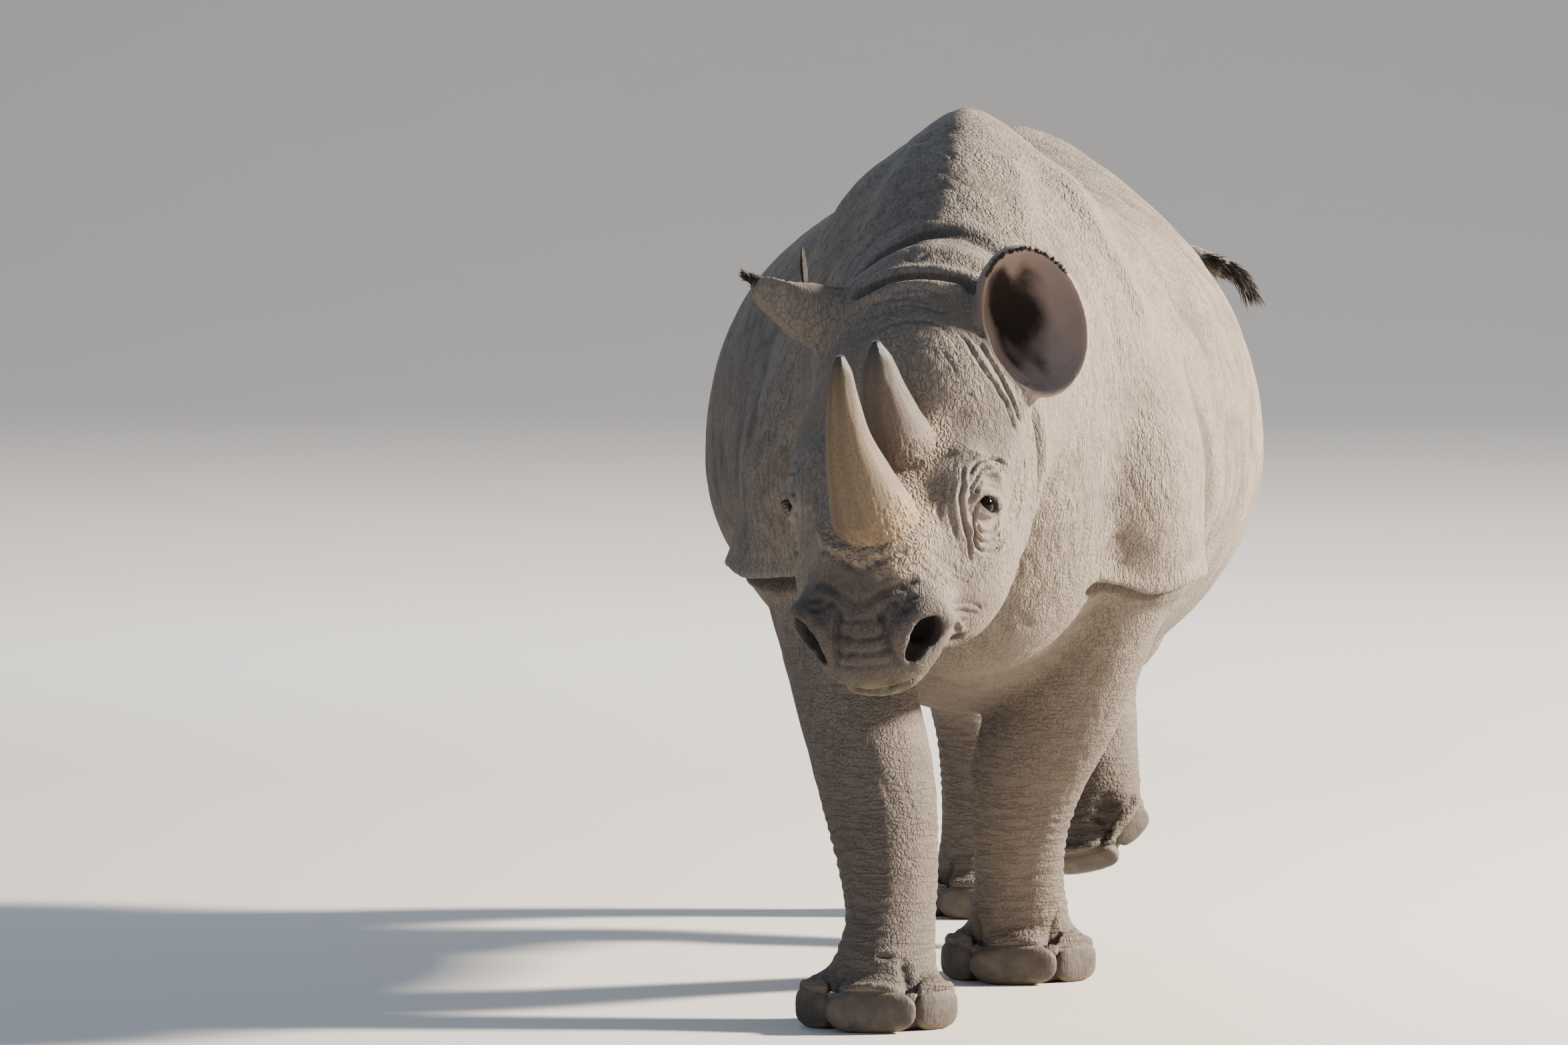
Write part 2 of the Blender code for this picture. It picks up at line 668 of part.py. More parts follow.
def thin_to(thing, triangles):
    """Collapse edges until about this many triangles are left."""
    faces = sum(len(face.vertices) - 2 for face in thing.data.polygons)
    modifier = thing.modifiers.new("thin", "DECIMATE")
    modifier.ratio = min(1.0, triangles / faces)
    modifier.use_collapse_triangulate = True
    return settle(thing)


def form_object(name, forms, step, triangles, home):
    """The joined forms as one closed mesh: remeshed, so that no edge has more than two faces, and
    thinned."""
    axes = even_axes(forms, step)
    points, faces = surface_of(field_of(forms, axes), axes)
    mesh = bpy.data.meshes.new(name)
    mesh.from_pydata(points.tolist(), [], faces.tolist())
    thing = mesh_object(name, mesh, home)
    modifier = thing.modifiers.new("even", "REMESH")
    modifier.mode = "VOXEL"
    modifier.voxel_size = step
    return thin_to(settle(thing), triangles)


def ball(name, frame, centre, radii, home, turn=0.0, segments=20, rings=10):
    """An ellipsoid in a frame, turned about the frame's Z axis."""
    shape = bmesh.new()
    bmesh.ops.create_uvsphere(shape, u_segments=segments, v_segments=rings, radius=1)
    mesh = bpy.data.meshes.new(name)
    shape.to_mesh(mesh)
    shape.free()
    placed = frame.matrix() @ Matrix.Translation(centre) @ Matrix.Rotation(math.radians(turn), 4, "Z")
    mesh.transform(placed @ Matrix.Diagonal((*radii, 1)))
    return mesh_object(name, mesh, home)


def tapered_tube(name, frame, stations, home, resolution=3):
    """A round tube through points, each with its radius."""
    curve = bpy.data.curves.new(name, "CURVE")
    curve.dimensions = "3D"
    curve.bevel_depth = 1.0
    curve.bevel_resolution = resolution
    curve.use_fill_caps = True
    line = curve.splines.new("POLY")
    rows = smooth_curve(stations, 2 * len(stations))
    line.points.add(len(rows) - 1)
    for point, row in zip(line.points, rows):
        point.co = (*frame.to_world(row[:3]), 1)
        point.radius = max(row[3], 0.004)
    return tidy(settle(mesh_object(name, curve, home)))


def swollen(thing, distance, home):
    """A cutter: a copy of an object with its surface moved outwards."""
    copy = mesh_object("cutter_" + thing.name, thing.data.copy(), home)
    places = np.array([v.co + v.normal * distance for v in copy.data.vertices], np.float32)
    copy.data.vertices.foreach_set("co", places.ravel())
    return as_cutter(copy)


def as_cutter(thing):
    thing.hide_render = True
    thing.display_type = "WIRE"
    return thing


def cut_away(thing, cutters):
    """Take cutters out of an object, one at a time."""
    for cutter in cutters:
        modifier = thing.modifiers.new("cut", "BOOLEAN")
        modifier.operation = "DIFFERENCE"
        modifier.solver = "EXACT"
        modifier.object = cutter
        settle(thing)
    return tidy(thing)


def plate(name, place, normal, half_sizes, home):
    """A thin plate across a direction, which parts what it crosses."""
    turned = Vector(normal).to_track_quat("Z", "X").to_matrix().to_4x4()
    shape = bmesh.new()
    bmesh.ops.create_cube(shape, size=2)
    mesh = bpy.data.meshes.new(name)
    shape.to_mesh(mesh)
    shape.free()
    mesh.transform(Matrix.Translation(place) @ turned @ Matrix.Diagonal((*half_sizes, GAP / 2, 1)))
    return as_cutter(mesh_object(name, mesh, home))


def floor_cutter(home):
    """A block under the floor, which leaves flat soles."""
    shape = bmesh.new()
    bmesh.ops.create_cube(shape, size=1)
    mesh = bpy.data.meshes.new("floor")
    shape.to_mesh(mesh)
    shape.free()
    mesh.transform(Matrix.Translation((0, 0, -0.25)) @ Matrix.Diagonal((4, 6, 0.5, 1)))
    return as_cutter(mesh_object("floor", mesh, home))


def islands_of(mesh):
    """The sets of linked points of a mesh, the largest first."""
    group = np.arange(len(mesh.vertices))
    ends = np.empty(2 * len(mesh.edges), np.int32)
    mesh.edges.foreach_get("vertices", ends)
    first, second = ends.reshape(-1, 2).T
    while (group[first] != group[second]).any():
        lower = np.minimum(group[first], group[second])
        np.minimum.at(group, first, lower)
        np.minimum.at(group, second, lower)
    return sorted((set(np.flatnonzero(group == g)) for g in np.unique(group)), key=len, reverse=True)


def island_object(name, mesh, island, home):
    """One island of a mesh, as an object of its own."""
    shape = bmesh.new()
    shape.from_mesh(mesh)
    bmesh.ops.delete(shape, geom=[v for v in shape.verts if v.index not in island], context="VERTS")
    made = bpy.data.meshes.new(name)
    shape.to_mesh(made)
    shape.free()
    return mesh_object(name, made, home)


def keep_largest(thing):
    """Drop the crumbs that a cut leaves beside an object."""
    name, home, mesh = thing.name, thing.users_collection[0], thing.data
    bpy.data.objects.remove(thing)
    return island_object(name, mesh, islands_of(mesh)[0], home)


def part_by_pieces(thing, home):
    """Separate what the cuts left, and name each solid by the point that it is nearest to."""
    pieces = []
    for island in islands_of(thing.data)[: len(PIECES)]:
        corners = np.array([thing.data.vertices[int(n)].co for n in island])
        middle = (corners.min(0) + corners.max(0)) / 2
        name = min(PIECES, key=lambda piece: np.linalg.norm(middle - np.array(PIECES[piece])))
        pieces.append(island_object(name, thing.data, island, home))
    bpy.data.objects.remove(thing)
    return pieces


# --- The animal ------------------------------------------------------------------------------
def depth_at(forms, point):
    """Signed distance of one point from the joined forms."""
    axes = [np.array([value - 1e-3, value, value + 1e-3]) for value in point]
    return field_of(forms, axes)[1, 1, 1]


def eye_centre(forms, side):
    """Where the eye sits: at its place on the face, its own depth below the skin."""
    low, high = 0.05, 0.30
    for _ in range(30):
        middle = (low + high) / 2
        inside = depth_at(forms, HEAD.to_world((EYE_PLACE[0], side * middle, EYE_PLACE[1]))) < -EYE_DEPTH
        low, high = (middle, high) if inside else (low, middle)
    return (EYE_PLACE[0], side * low, EYE_PLACE[1])


def build_horns(home):
    horn = material("horn", (0.42, 0.34, 0.24), 0.55)
    made = []
    for name, stations in HORNS.items():
        thing = tapered_tube("horn_" + name, HEAD, stations, home)
        thing.data.materials.append(horn)
        made.append(thing)
    return made


def build_eyes(forms, home):
    eye = material("eye", (0.03, 0.018, 0.012), 0.12)
    made = []
    for name, side in (("left", 1), ("right", -1)):
        radii = (EYE_RADIUS, EYE_RADIUS, EYE_RADIUS)
        thing = ball("eye_" + name, HEAD, eye_centre(forms, side), radii, home, segments=10, rings=6)
        thing.data.materials.append(eye)
        made.append(thing)
    return made


def build_nails(floor, home):
    nail = material("nail", (0.36, 0.33, 0.29), 0.5)
    made = []
    for foot in FEET:
        s = foot.size
        for name, (across, along, turn) in NAILS.items():
            wide = 0.62 if name == "middle" else 0.38
            thing = ball(f"nail_{foot.name}_{name}", foot.frame(), (across * s, along * s, 0.29 * s),
                         (wide * s, 0.17 * s, 0.30 * s), home, turn, 10, 5)
            cut_away(thing, [floor])
            thing.data.materials.append(nail)
            made.append(thing)
    return made


def build():
    clear_scene()
    home, tools = collection("black_rhinoceros"), collection("cutters")
    hide = material("hide", (0.36, 0.32, 0.28), 0.9)
    hair = material("hair", (0.05, 0.04, 0.035), 0.8)
    floor = floor_cutter(tools)
    forms = flesh_forms()

    flesh = form_object("flesh", forms, MESH_STEP, FLESH_TRIANGLES, home)
    flesh_cutter = swollen(flesh, GAP, tools)
    for ear in EARS:
        thing = form_object("ear_" + ear.name, ear.forms(), EAR_STEP, EAR_TRIANGLES, home)
        keep_largest(cut_away(thing, [flesh_cutter])).data.materials.append(hide)

    tuft_rows = [(*place, radius) for place, radius in zip(TUFT, (0.014, 0.018, 0.005))]
    tuft = tapered_tube("tail_tuft", WORLD, tuft_rows, home)
    tuft.data.materials.append(hair)

    inserts = build_horns(home) + build_eyes(forms, home) + build_nails(floor, home) + [tuft]
    sockets = [swollen(thing, GAP, tools) for thing in inserts]
    plates = [plate(f"plate_{n}", *cut, tools) for n, cut in enumerate(CUTS)]
    cut_away(flesh, [floor] + sockets + plates)
    for piece in part_by_pieces(flesh, home):
        piece.data.materials.append(hide)
    for piece in home.objects:
        piece.data.transform(Matrix.Translation((-BOX_MIDDLE[0], -BOX_MIDDLE[1], 0)))


build()
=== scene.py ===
"""Looks of a walking black rhinoceros: a skin over the flesh, with horns, eyes, nails and hair.

The skin is one surface over bones and muscles that run smoothly into each other, which no grid of
two parameters closes without a seam. It is worked out as a signed distance instead: every bone,
muscle and fold is a form with a distance, the distances are joined with fillets, and the surface
where the joined distance is zero is meshed once. Creases and wrinkles then move its points along
their normals. Horns, eyes, nails and hair are two-parameter surfaces.

The plan of the body is given about a point under its back, with the animal facing -Y, its left
side at +X and the floor at z = 0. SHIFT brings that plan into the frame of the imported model.
"""

import json
import logging
import math
from dataclasses import dataclass, field
from enum import Enum
from functools import reduce
from typing import Iterable, Optional, Sequence

import bmesh
import bpy
import numpy as np
from mathutils import Matrix, Vector

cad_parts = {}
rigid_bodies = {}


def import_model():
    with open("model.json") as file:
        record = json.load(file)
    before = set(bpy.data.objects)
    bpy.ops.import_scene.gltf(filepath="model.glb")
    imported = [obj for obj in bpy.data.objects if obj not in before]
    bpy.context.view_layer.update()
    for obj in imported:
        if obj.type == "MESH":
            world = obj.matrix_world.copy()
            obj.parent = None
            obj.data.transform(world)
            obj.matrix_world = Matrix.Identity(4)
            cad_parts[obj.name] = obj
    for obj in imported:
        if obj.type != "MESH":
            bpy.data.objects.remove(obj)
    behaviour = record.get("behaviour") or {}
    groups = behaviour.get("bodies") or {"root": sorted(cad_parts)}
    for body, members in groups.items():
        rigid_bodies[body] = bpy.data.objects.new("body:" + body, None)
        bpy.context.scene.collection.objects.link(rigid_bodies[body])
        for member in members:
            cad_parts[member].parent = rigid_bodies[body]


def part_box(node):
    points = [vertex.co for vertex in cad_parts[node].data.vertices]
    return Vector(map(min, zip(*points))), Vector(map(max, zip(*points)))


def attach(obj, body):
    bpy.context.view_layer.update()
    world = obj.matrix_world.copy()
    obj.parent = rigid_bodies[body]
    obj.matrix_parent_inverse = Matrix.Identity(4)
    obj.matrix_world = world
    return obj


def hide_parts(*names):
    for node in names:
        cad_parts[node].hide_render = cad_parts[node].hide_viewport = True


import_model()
LOG = logging.getLogger("black_rhinoceros")

Array = np.ndarray
Point = tuple[float, float, float]
Row = tuple[float, ...]

SHIFT = np.array((0.0357, 0.1099, 0.0))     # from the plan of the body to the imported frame
FAR = 1.0                                   # distance given to a point that no form is near


# --- Frames and curves ------------------------------------
@dataclass(frozen=True)
class Axes:
    """A set of axes in the columns of a matrix, with their origin.

    Attributes:
        columns: The directions of X, Y and Z.
        origin: Where the axes start, in the plan of the body or in the parent's axes.
        side: Which axis runs from left to right.
        parent: The axes that these are given in, mirrored onto both of its sides.
    """

    columns: Array
    origin: Array
    side: int = 0
    parent: Optional["Axes"] = None

    def to_local(self, points: Array) -> Array:
        """Points of the plan in these axes.

        Args:
            points: Places in the plan of the body.

        Returns:
            The same places from the origin, along X, Y and Z.
        """
        if self.parent is not None:
            points = self.parent.to_local(points)
            points[:, self.parent.side] = np.abs(points[:, self.parent.side])
        return (points - self.origin) @ self.columns

    def to_plan(self, points: Array) -> Array:
        """Local points in the plan of the body, with their mirror images below them.

        Args:
            points: Places given in these axes.

        Returns:
            The same places in the plan, and their mirror images if there is a parent.
        """
        placed = self.origin + np.asarray(points, float) @ self.columns.T
        if self.parent is None:
            return placed
        flip = np.ones(3)
        flip[self.parent.side] = -1
        return self.parent.to_plan(np.vstack([placed, placed * flip]))


def aimed(origin: Point, out: Point, up: Point, parent: Optional[Axes] = None) -> Axes:
    """Axes whose Z points out, whose Y is as near to up as that allows, and whose X is Y x Z.

    Args:
        origin: Where the axes start.
        out: The direction of Z.
        up: The direction that Y is near.
        parent: Axes that these are given in.

    Returns:
        The axes.
    """
    z = np.asarray(out, float) / np.linalg.norm(out)
    y = np.asarray(up, float) - np.dot(up, z) * z
    y /= np.linalg.norm(y)
    return Axes(np.array([np.cross(y, z), y, z]).T, np.asarray(origin, float), parent=parent)


def turned(degrees: float, axis: str) -> Array:
    """The matrix that turns by an angle about an axis."""
    return np.array(Matrix.Rotation(math.radians(degrees), 3, axis))


def head_axes(origin: Point, pitch: float, turn: float, roll: float) -> Axes:
    """The head's axes: forward along the face, left, and out of the forehead.

    Args:
        origin: The poll, on the axis of the head.
        pitch: Degrees that the face slopes below the horizon.
        turn: Degrees that the head is turned to the animal's right.
        roll: Degrees that the crown leans to the animal's right.

    Returns:
        The axes.
    """
    facing = np.array(((0, 1, 0), (-1, 0, 0), (0, 0, 1)), float)
    columns = turned(-roll, "Y") @ turned(-turn, "Z") @ facing @ turned(pitch, "Y")
    return Axes(columns, np.array(origin, float), side=1)


PLAN = Axes(np.eye(3), np.zeros(3))
HEAD = head_axes((-0.024, -0.98, 1.212), pitch=47.0, turn=11.0, roll=2.0)


def metres(*rows: Row) -> tuple[Row, ...]:
    """Rows that are given in millimetres, in metres."""
    return tuple(tuple(value / 1000 for value in row) for row in rows)


def smooth_curve(stations: Sequence[Row], count: int) -> Array:
    """Rows of numbers on a Catmull-Rom curve through the stations.

    Args:
        stations: The rows that the curve passes through.
        count: How many rows to return, evenly spread over the spans.

    Returns:
        The rows.
    """
    rows = np.asarray(stations, float)
    padded = np.vstack([2 * rows[0] - rows[1], rows, 2 * rows[-1] - rows[-2]])
    place = np.linspace(0, len(rows) - 1, count)
    index = np.minimum(place.astype(int), len(rows) - 2)
    t = (place - index)[:, None]
    before, start, end, after = (padded[index + shift] for shift in range(4))
    return 0.5 * (
        2 * start
        + (end - before) * t
        + (2 * before - 5 * start + 4 * end - after) * t**2
        + (3 * start - before - 3 * end + after) * t**3
    )


def ramp(values: Array, start: float, end: float) -> Array:
    """0 at start and 1 at end, easing in and out as 3t^2 - 2t^3."""
    t = np.clip((values - start) / (end - start), 0, 1)
    return t * t * (3 - 2 * t)


def unit(vectors: Array) -> Array:
    """Vectors of length 1 along the given ones."""
    return vectors / np.linalg.norm(vectors, axis=1)[:, None]


# --- Noise ------------------------------------------------
def noise(points: Array, seed: int) -> Array:
    """Smooth noise from -1 to 1: a hashed value at each whole-number corner, eased between them.

    Args:
        points: Places, in cells of the noise.
        seed: Which noise it is.

    Returns:
        A number for each place.
    """
    base = np.floor(points).astype(np.int64)
    t = points - base
    t = t * t * (3 - 2 * t)
    total = np.zeros(len(points))
    for corner in CORNERS:
        x, y, z = (base + corner).T
        mixed = (x * 73856093) ^ (y * 19349663) ^ (z * 83492791) ^ (seed * 40503)
        mixed = ((mixed ^ (mixed >> 13)) * 1274126177) & 0x7FFFFFFF
        value = ((mixed >> 8) & 0xFFFF) / 32767.5 - 1
        total += value * np.prod(np.where(corner, t, 1 - t), axis=1)
    return total


def pads(points: Array, seed: int, sharpness: float = 3.0) -> Array:
    """Swollen pads parted by narrow valleys, from -1 in a valley to 0: -(1 - |noise|)^sharpness."""
    return -((1 - np.abs(noise(points, seed))) ** sharpness)


# --- Forms: each gives a signed distance, negative inside -
def ellipsoid_distance(local: Array, radii: Array) -> Array:
    """Distance to an ellipsoid at the origin, |p/r| (|p/r| - 1) / |p/r^2|."""
    scaled = np.linalg.norm(local / radii, axis=1)
    slope = np.maximum(np.linalg.norm(local / radii**2, axis=1), 1e-6)
    return scaled * (scaled - 1) / slope


@dataclass
class Form:
    """What every form has.

    Attributes:
        axes: The axes that it is given in.
        blend: Size of the fillet where it meets the rest.
        paired: The same on the other side of its axes' midline.
        cuts: It takes flesh away.
        late: It is joined on, or cut, after all that is not late.
    """

    axes: Axes = PLAN
    blend: float = 0.05
    paired: bool = False
    cuts: bool = False
    late: bool = field(default=False, kw_only=True)

    def local(self, points: Array) -> Array:
        """Points in the form's axes, folded onto the left side for a paired form."""
        placed = self.axes.to_local(points)
        if self.paired:
            placed[:, self.axes.side] = np.abs(placed[:, self.axes.side])
        return placed

    def box_round(self, points: Array, reach: float) -> tuple[Array, Array]:
        """Corners of the plan's box that holds balls of a radius at some local points.

        Args:
            points: Places in the form's axes.
            reach: Radius of the balls.

        Returns:
            The lowest and the highest corner.
        """
        points = np.atleast_2d(np.asarray(points, float))
        if self.paired:
            mirror = np.ones(3)
            mirror[self.axes.side] = -1
            points = np.vstack([points, points * mirror])
        placed = self.axes.to_plan(points)
        return placed.min(0) - reach, placed.max(0) + reach

    def box(self, margin: float) -> tuple[Array, Array]:
        """Corners of the box that holds the form and a margin round it."""
        raise NotImplementedError

    def distance(self, points: Array) -> Array:
        """Signed distance of each point."""
        raise NotImplementedError


@dataclass
class Mass(Form):
    """An ellipsoid, turned in degrees about its X, then Y, then Z axis."""

    centre: Point = (0, 0, 0)
    radii: Point = (1, 1, 1)
    turn: Point = (0, 0, 0)

    def box(self, margin: float) -> tuple[Array, Array]:
        """The box of the ball that holds the ellipsoid."""
        return self.box_round([self.centre], max(self.radii) + margin)

    def distance(self, points: Array) -> Array:
        """Distance to the turned ellipsoid."""
        offset = self.local(points) - np.asarray(self.centre)
        x, y, z = self.turn
        return ellipsoid_distance(offset @ (turned(z, "Z") @ turned(y, "Y") @ turned(x, "X")),
                                  np.asarray(self.radii, float))


@dataclass
class Limb(Form):
    """An elliptical profile carried along a path. A station is x, y, z, half width, half depth.

    Attributes:
        stations: What the path passes through.
        side: The direction that the half width is measured in.
        spans: How many straight runs stand for the curve.
    """

    stations: tuple[Row, ...] = ()
    side: Point = (1, 0, 0)
    spans: int = 12

    def path(self) -> Array:
        """The curve through the stations."""
        return smooth_curve(self.stations, self.spans + 1)

    def box(self, margin: float) -> tuple[Array, Array]:
        """The box of the balls along the path."""
        path = self.path()
        return self.box_round(path[:, :3], path[:, 3:].max() + margin)

    def distance(self, points: Array) -> Array:
        """Distance to the nearest run, taking the ellipse of its own place as the profile.

        Args:
            points: Points of the plan of the body.

        Returns:
            Signed distances.
        """
        local = self.local(points)
        path = self.path()
        nearest = np.full(len(local), FAR)
        for start, end in zip(path[:-1], path[1:]):
            run = end[:3] - start[:3]
            length = np.linalg.norm(run)
            along = run / length
            across = np.asarray(self.side, float) - np.dot(self.side, along) * along
            across /= np.linalg.norm(across)
            deep = np.cross(along, across)
            offset = local - start[:3]
            share = np.clip(offset @ along / length, 0, 1)
            offset = offset - share[:, None] * run
            radii = start[3:] + share[:, None] * (end[3:] - start[3:])
            parts = np.stack([offset @ across, offset @ deep, offset @ along], 1)
            sizes = np.stack([radii[:, 0], radii[:, 1], radii.min(1)], 1)
            np.minimum(nearest, ellipsoid_distance(parts, sizes), out=nearest)
        return nearest


@dataclass
class Barrel(Form):
    """The trunk: rounded sections along Y.

    A station is y, top, bottom, half width, how far the spine bends sideways, and the roundness
    above the widest level: 2 is an ellipse, and less is a roof.

    Attributes:
        level: Height at which the barrel is widest.
        below: Roundness below that level.
        samples: How many rows stand for the curve through the stations.
    """

    stations: tuple[Row, ...] = ()
    level: float = 0.93
    below: float = 1.8
    samples: int = 160

    def box(self, margin: float) -> tuple[Array, Array]:
        """The box of all sections."""
        rows = np.asarray(self.stations, float)
        wide = rows[:, 3].max() + np.abs(rows[:, 4]).max() + margin
        low = (-wide, rows[:, 0].min() - margin, rows[:, 2].min() - margin)
        high = (wide, rows[:, 0].max() + margin, rows[:, 1].max() + margin)
        return np.array(low), np.array(high)

    def distance(self, points: Array) -> Array:
        """Distance from the section at the point's own y: the reach less the reach / ratio, where
        ratio is (across^n + rise^n)^(1/n) over the section's half sizes.

        Args:
            points: Points of the plan of the body.

        Returns:
            Signed distances.
        """
        rows = smooth_curve(self.stations, self.samples)
        x, y, z = points.T
        top, bottom, half, middle, above = (
            np.interp(y, rows[:, 0], rows[:, column]) for column in range(1, 6)
        )
        room = 0.3 * (top - bottom)
        level = np.clip(self.level, bottom + room, top - room)
        rise = z - level
        height = np.where(rise > 0, top - level, level - bottom)
        power = np.where(rise > 0, above, self.below)
        across = np.abs(x - middle) / half
        ratio = (across**power + (np.abs(rise) / height) ** power) ** (1 / power)
        reach = np.hypot(x - middle, rise)
        deep = -np.minimum(half, height)
        inside = np.where(ratio < 1e-3, deep, reach - reach / np.maximum(ratio, 1e-3))
        beyond = np.maximum(rows[0, 0] - y, y - rows[-1, 0])
        return np.maximum(inside, beyond)


@dataclass
class Ground(Form):
    """Everything below a height."""

    level: float = 0.0008

    def box(self, margin: float) -> tuple[Array, Array]:
        """All that is not far above the level."""
        return np.full(3, -9.0), np.array((9.0, 9.0, self.level + margin))

    def distance(self, points: Array) -> Array:
        """Height over the level."""
        return points[:, 2] - self.level


def join(first: Array, second: Array, blend: float) -> Array:
    """The smaller of two distances, less (blend - |difference|)^2 / (4 blend) as a fillet."""
    overlap = np.clip(blend - np.abs(first - second), 0, None) / blend
    return np.minimum(first, second) - overlap**2 * blend / 4


def joined(forms: Sequence[Form], points: Array) -> Array:
    """Signed distance of a list of points from all the forms together.

    Args:
        forms: What is joined, those that are late after the rest.
        points: Points of the plan of the body.

    Returns:
        Signed distances, FAR where no form is near.
    """
    total = np.full(len(points), FAR)
    for form in sorted(forms, key=lambda one: (one.late, one.cuts)):
        low, high = form.box(form.blend)
        near = np.flatnonzero(((points > low) & (points < high)).all(1))
        if len(near) == 0:
            continue
        distance = form.distance(points[near])
        if form.cuts:
            total[near] = -join(-total[near], distance, form.blend)
        else:
            total[near] = join(total[near], distance, form.blend)
    return total


# --- Surface of the joined forms --------------------------
CORNERS = np.array([(i, j, k) for i in (0, 1) for j in (0, 1) for k in (0, 1)])
PAIRS = [(a, b) for a in range(8) for b in range(a + 1, 8)]
EDGES = [(a, b) for a, b in PAIRS if np.abs(CORNERS[a] - CORNERS[b]).sum() == 1]


@dataclass
class FieldGrid:
    """A box of points on which the joined distance is worked out near the surface only.

    Attributes:
        planes: The places of the grid's planes along X, Y and Z.
        stride: Every how many planes the first, coarse look takes one.
        band: Points nearer the surface than this in the coarse look are worked out exactly.
    """

    planes: tuple[Array, Array, Array]
    stride: int = 4
    band: float = 0.02

    def sample(self, forms: Sequence[Form]) -> Array:
        """The field on the grid: coarse values spread evenly, exact ones near the surface.

        Args:
            forms: What is joined.

        Returns:
            One value for each point of the grid.
        """
        shape = tuple(len(p) for p in self.planes)
        picks = [np.unique(np.append(np.arange(0, n, self.stride), n - 1)) for n in shape]
        coarse_planes = [p[pick] for p, pick in zip(self.planes, picks)]
        points = np.stack(np.meshgrid(*coarse_planes, indexing="ij"), -1).reshape(-1, 3)
        values = joined(forms, points).astype(np.float32).reshape([len(p) for p in picks])
        for axis, (pick, n) in enumerate(zip(picks, shape)):
            place = np.interp(np.arange(n), pick, np.arange(len(pick)))
            low = np.minimum(place.astype(int), len(pick) - 2)
            share = (place - low).astype(np.float32)
            share = share.reshape([-1 if a == axis else 1 for a in range(3)])
            values = values.take(low, axis) * (1 - share) + values.take(low + 1, axis) * share
        near = np.nonzero(np.abs(values) < self.band)
        exact = np.stack([plane[index] for plane, index in zip(self.planes, near)], 1)
        values[near] = joined(forms, exact)
        return values

    def surface(self, values: Array) -> tuple[Array, Array]:
        """Points and four-sided faces of the zero surface.

        There is one point for each cell that the surface crosses, at the mean of its edge
        crossings, and one face for each grid edge that it crosses.

        Args:
            values: The field on the grid.

        Returns:
            The points, and four numbers of points for each face.
        """
        inside = values < 0
        size = np.array(values.shape)
        count = np.zeros(size - 1, np.int8)
        for i, j, k in CORNERS:
            count += inside[i : size[0] - 1 + i, j : size[1] - 1 + j, k : size[2] - 1 + k]
        cells = np.argwhere((count > 0) & (count < 8))
        number = np.full(size - 1, -1, np.int32)
        number[tuple(cells.T)] = np.arange(len(cells))
        corners = [cells + corner for corner in CORNERS]
        heights = np.stack([values[tuple(at.T)] for at in corners], 1)
        places = np.stack(
            [np.stack([self.planes[n][at[:, n]] for n in range(3)], 1) for at in corners], 1
        )
        total = np.zeros((len(cells), 3))
        crossings = np.zeros(len(cells))
        for a, b in EDGES:
            crossed = (heights[:, a] < 0) != (heights[:, b] < 0)
            span = np.where(crossed, heights[:, a] - heights[:, b], 1)
            share = np.where(crossed, heights[:, a] / span, 0)
            point = places[:, a] + share[:, None] * (places[:, b] - places[:, a])
            total += np.where(crossed[:, None], point, 0)
            crossings += crossed
        faces = []
        for n in range(3):
            start, end = np.moveaxis(inside, n, 0)[:-1], np.moveaxis(inside, n, 0)[1:]
            edge = np.argwhere(start != end)
            leaving = start[tuple(edge.T)]
            edge = edge[:, [[0, 1, 2], [1, 0, 2], [1, 2, 0]][n]]
            one, two = np.eye(3, dtype=int)[(n + 1) % 3], np.eye(3, dtype=int)[(n + 2) % 3]
            around = (one + two, two, np.zeros(3, int), one)
            ring = np.stack([number[tuple((edge - shift).T)] for shift in around], 1)
            ring[~leaving] = ring[~leaving][:, ::-1]
            faces.append(ring)
        return total / crossings[:, None], np.vstack(faces)


def graded(low: float, high: float, coarse: float, stretches: Sequence[Row]) -> Array:
    """Planes from low to high whose spacing changes in steps.

    Args:
        low: Where the first plane is.
        high: Where the last plane is, or just past it.
        coarse: Spacing outside all stretches.
        stretches: Start, end and spacing of each stretch. A later one wins over an earlier one.

    Returns:
        The places of the planes.
    """
    planes = [low]
    while planes[-1] < high:
        here = planes[-1] + 1e-6
        steps = [step for start, end, step in stretches if start <= here < end]
        planes.append(planes[-1] + (steps[-1] if steps else coarse))
    return np.array(planes)


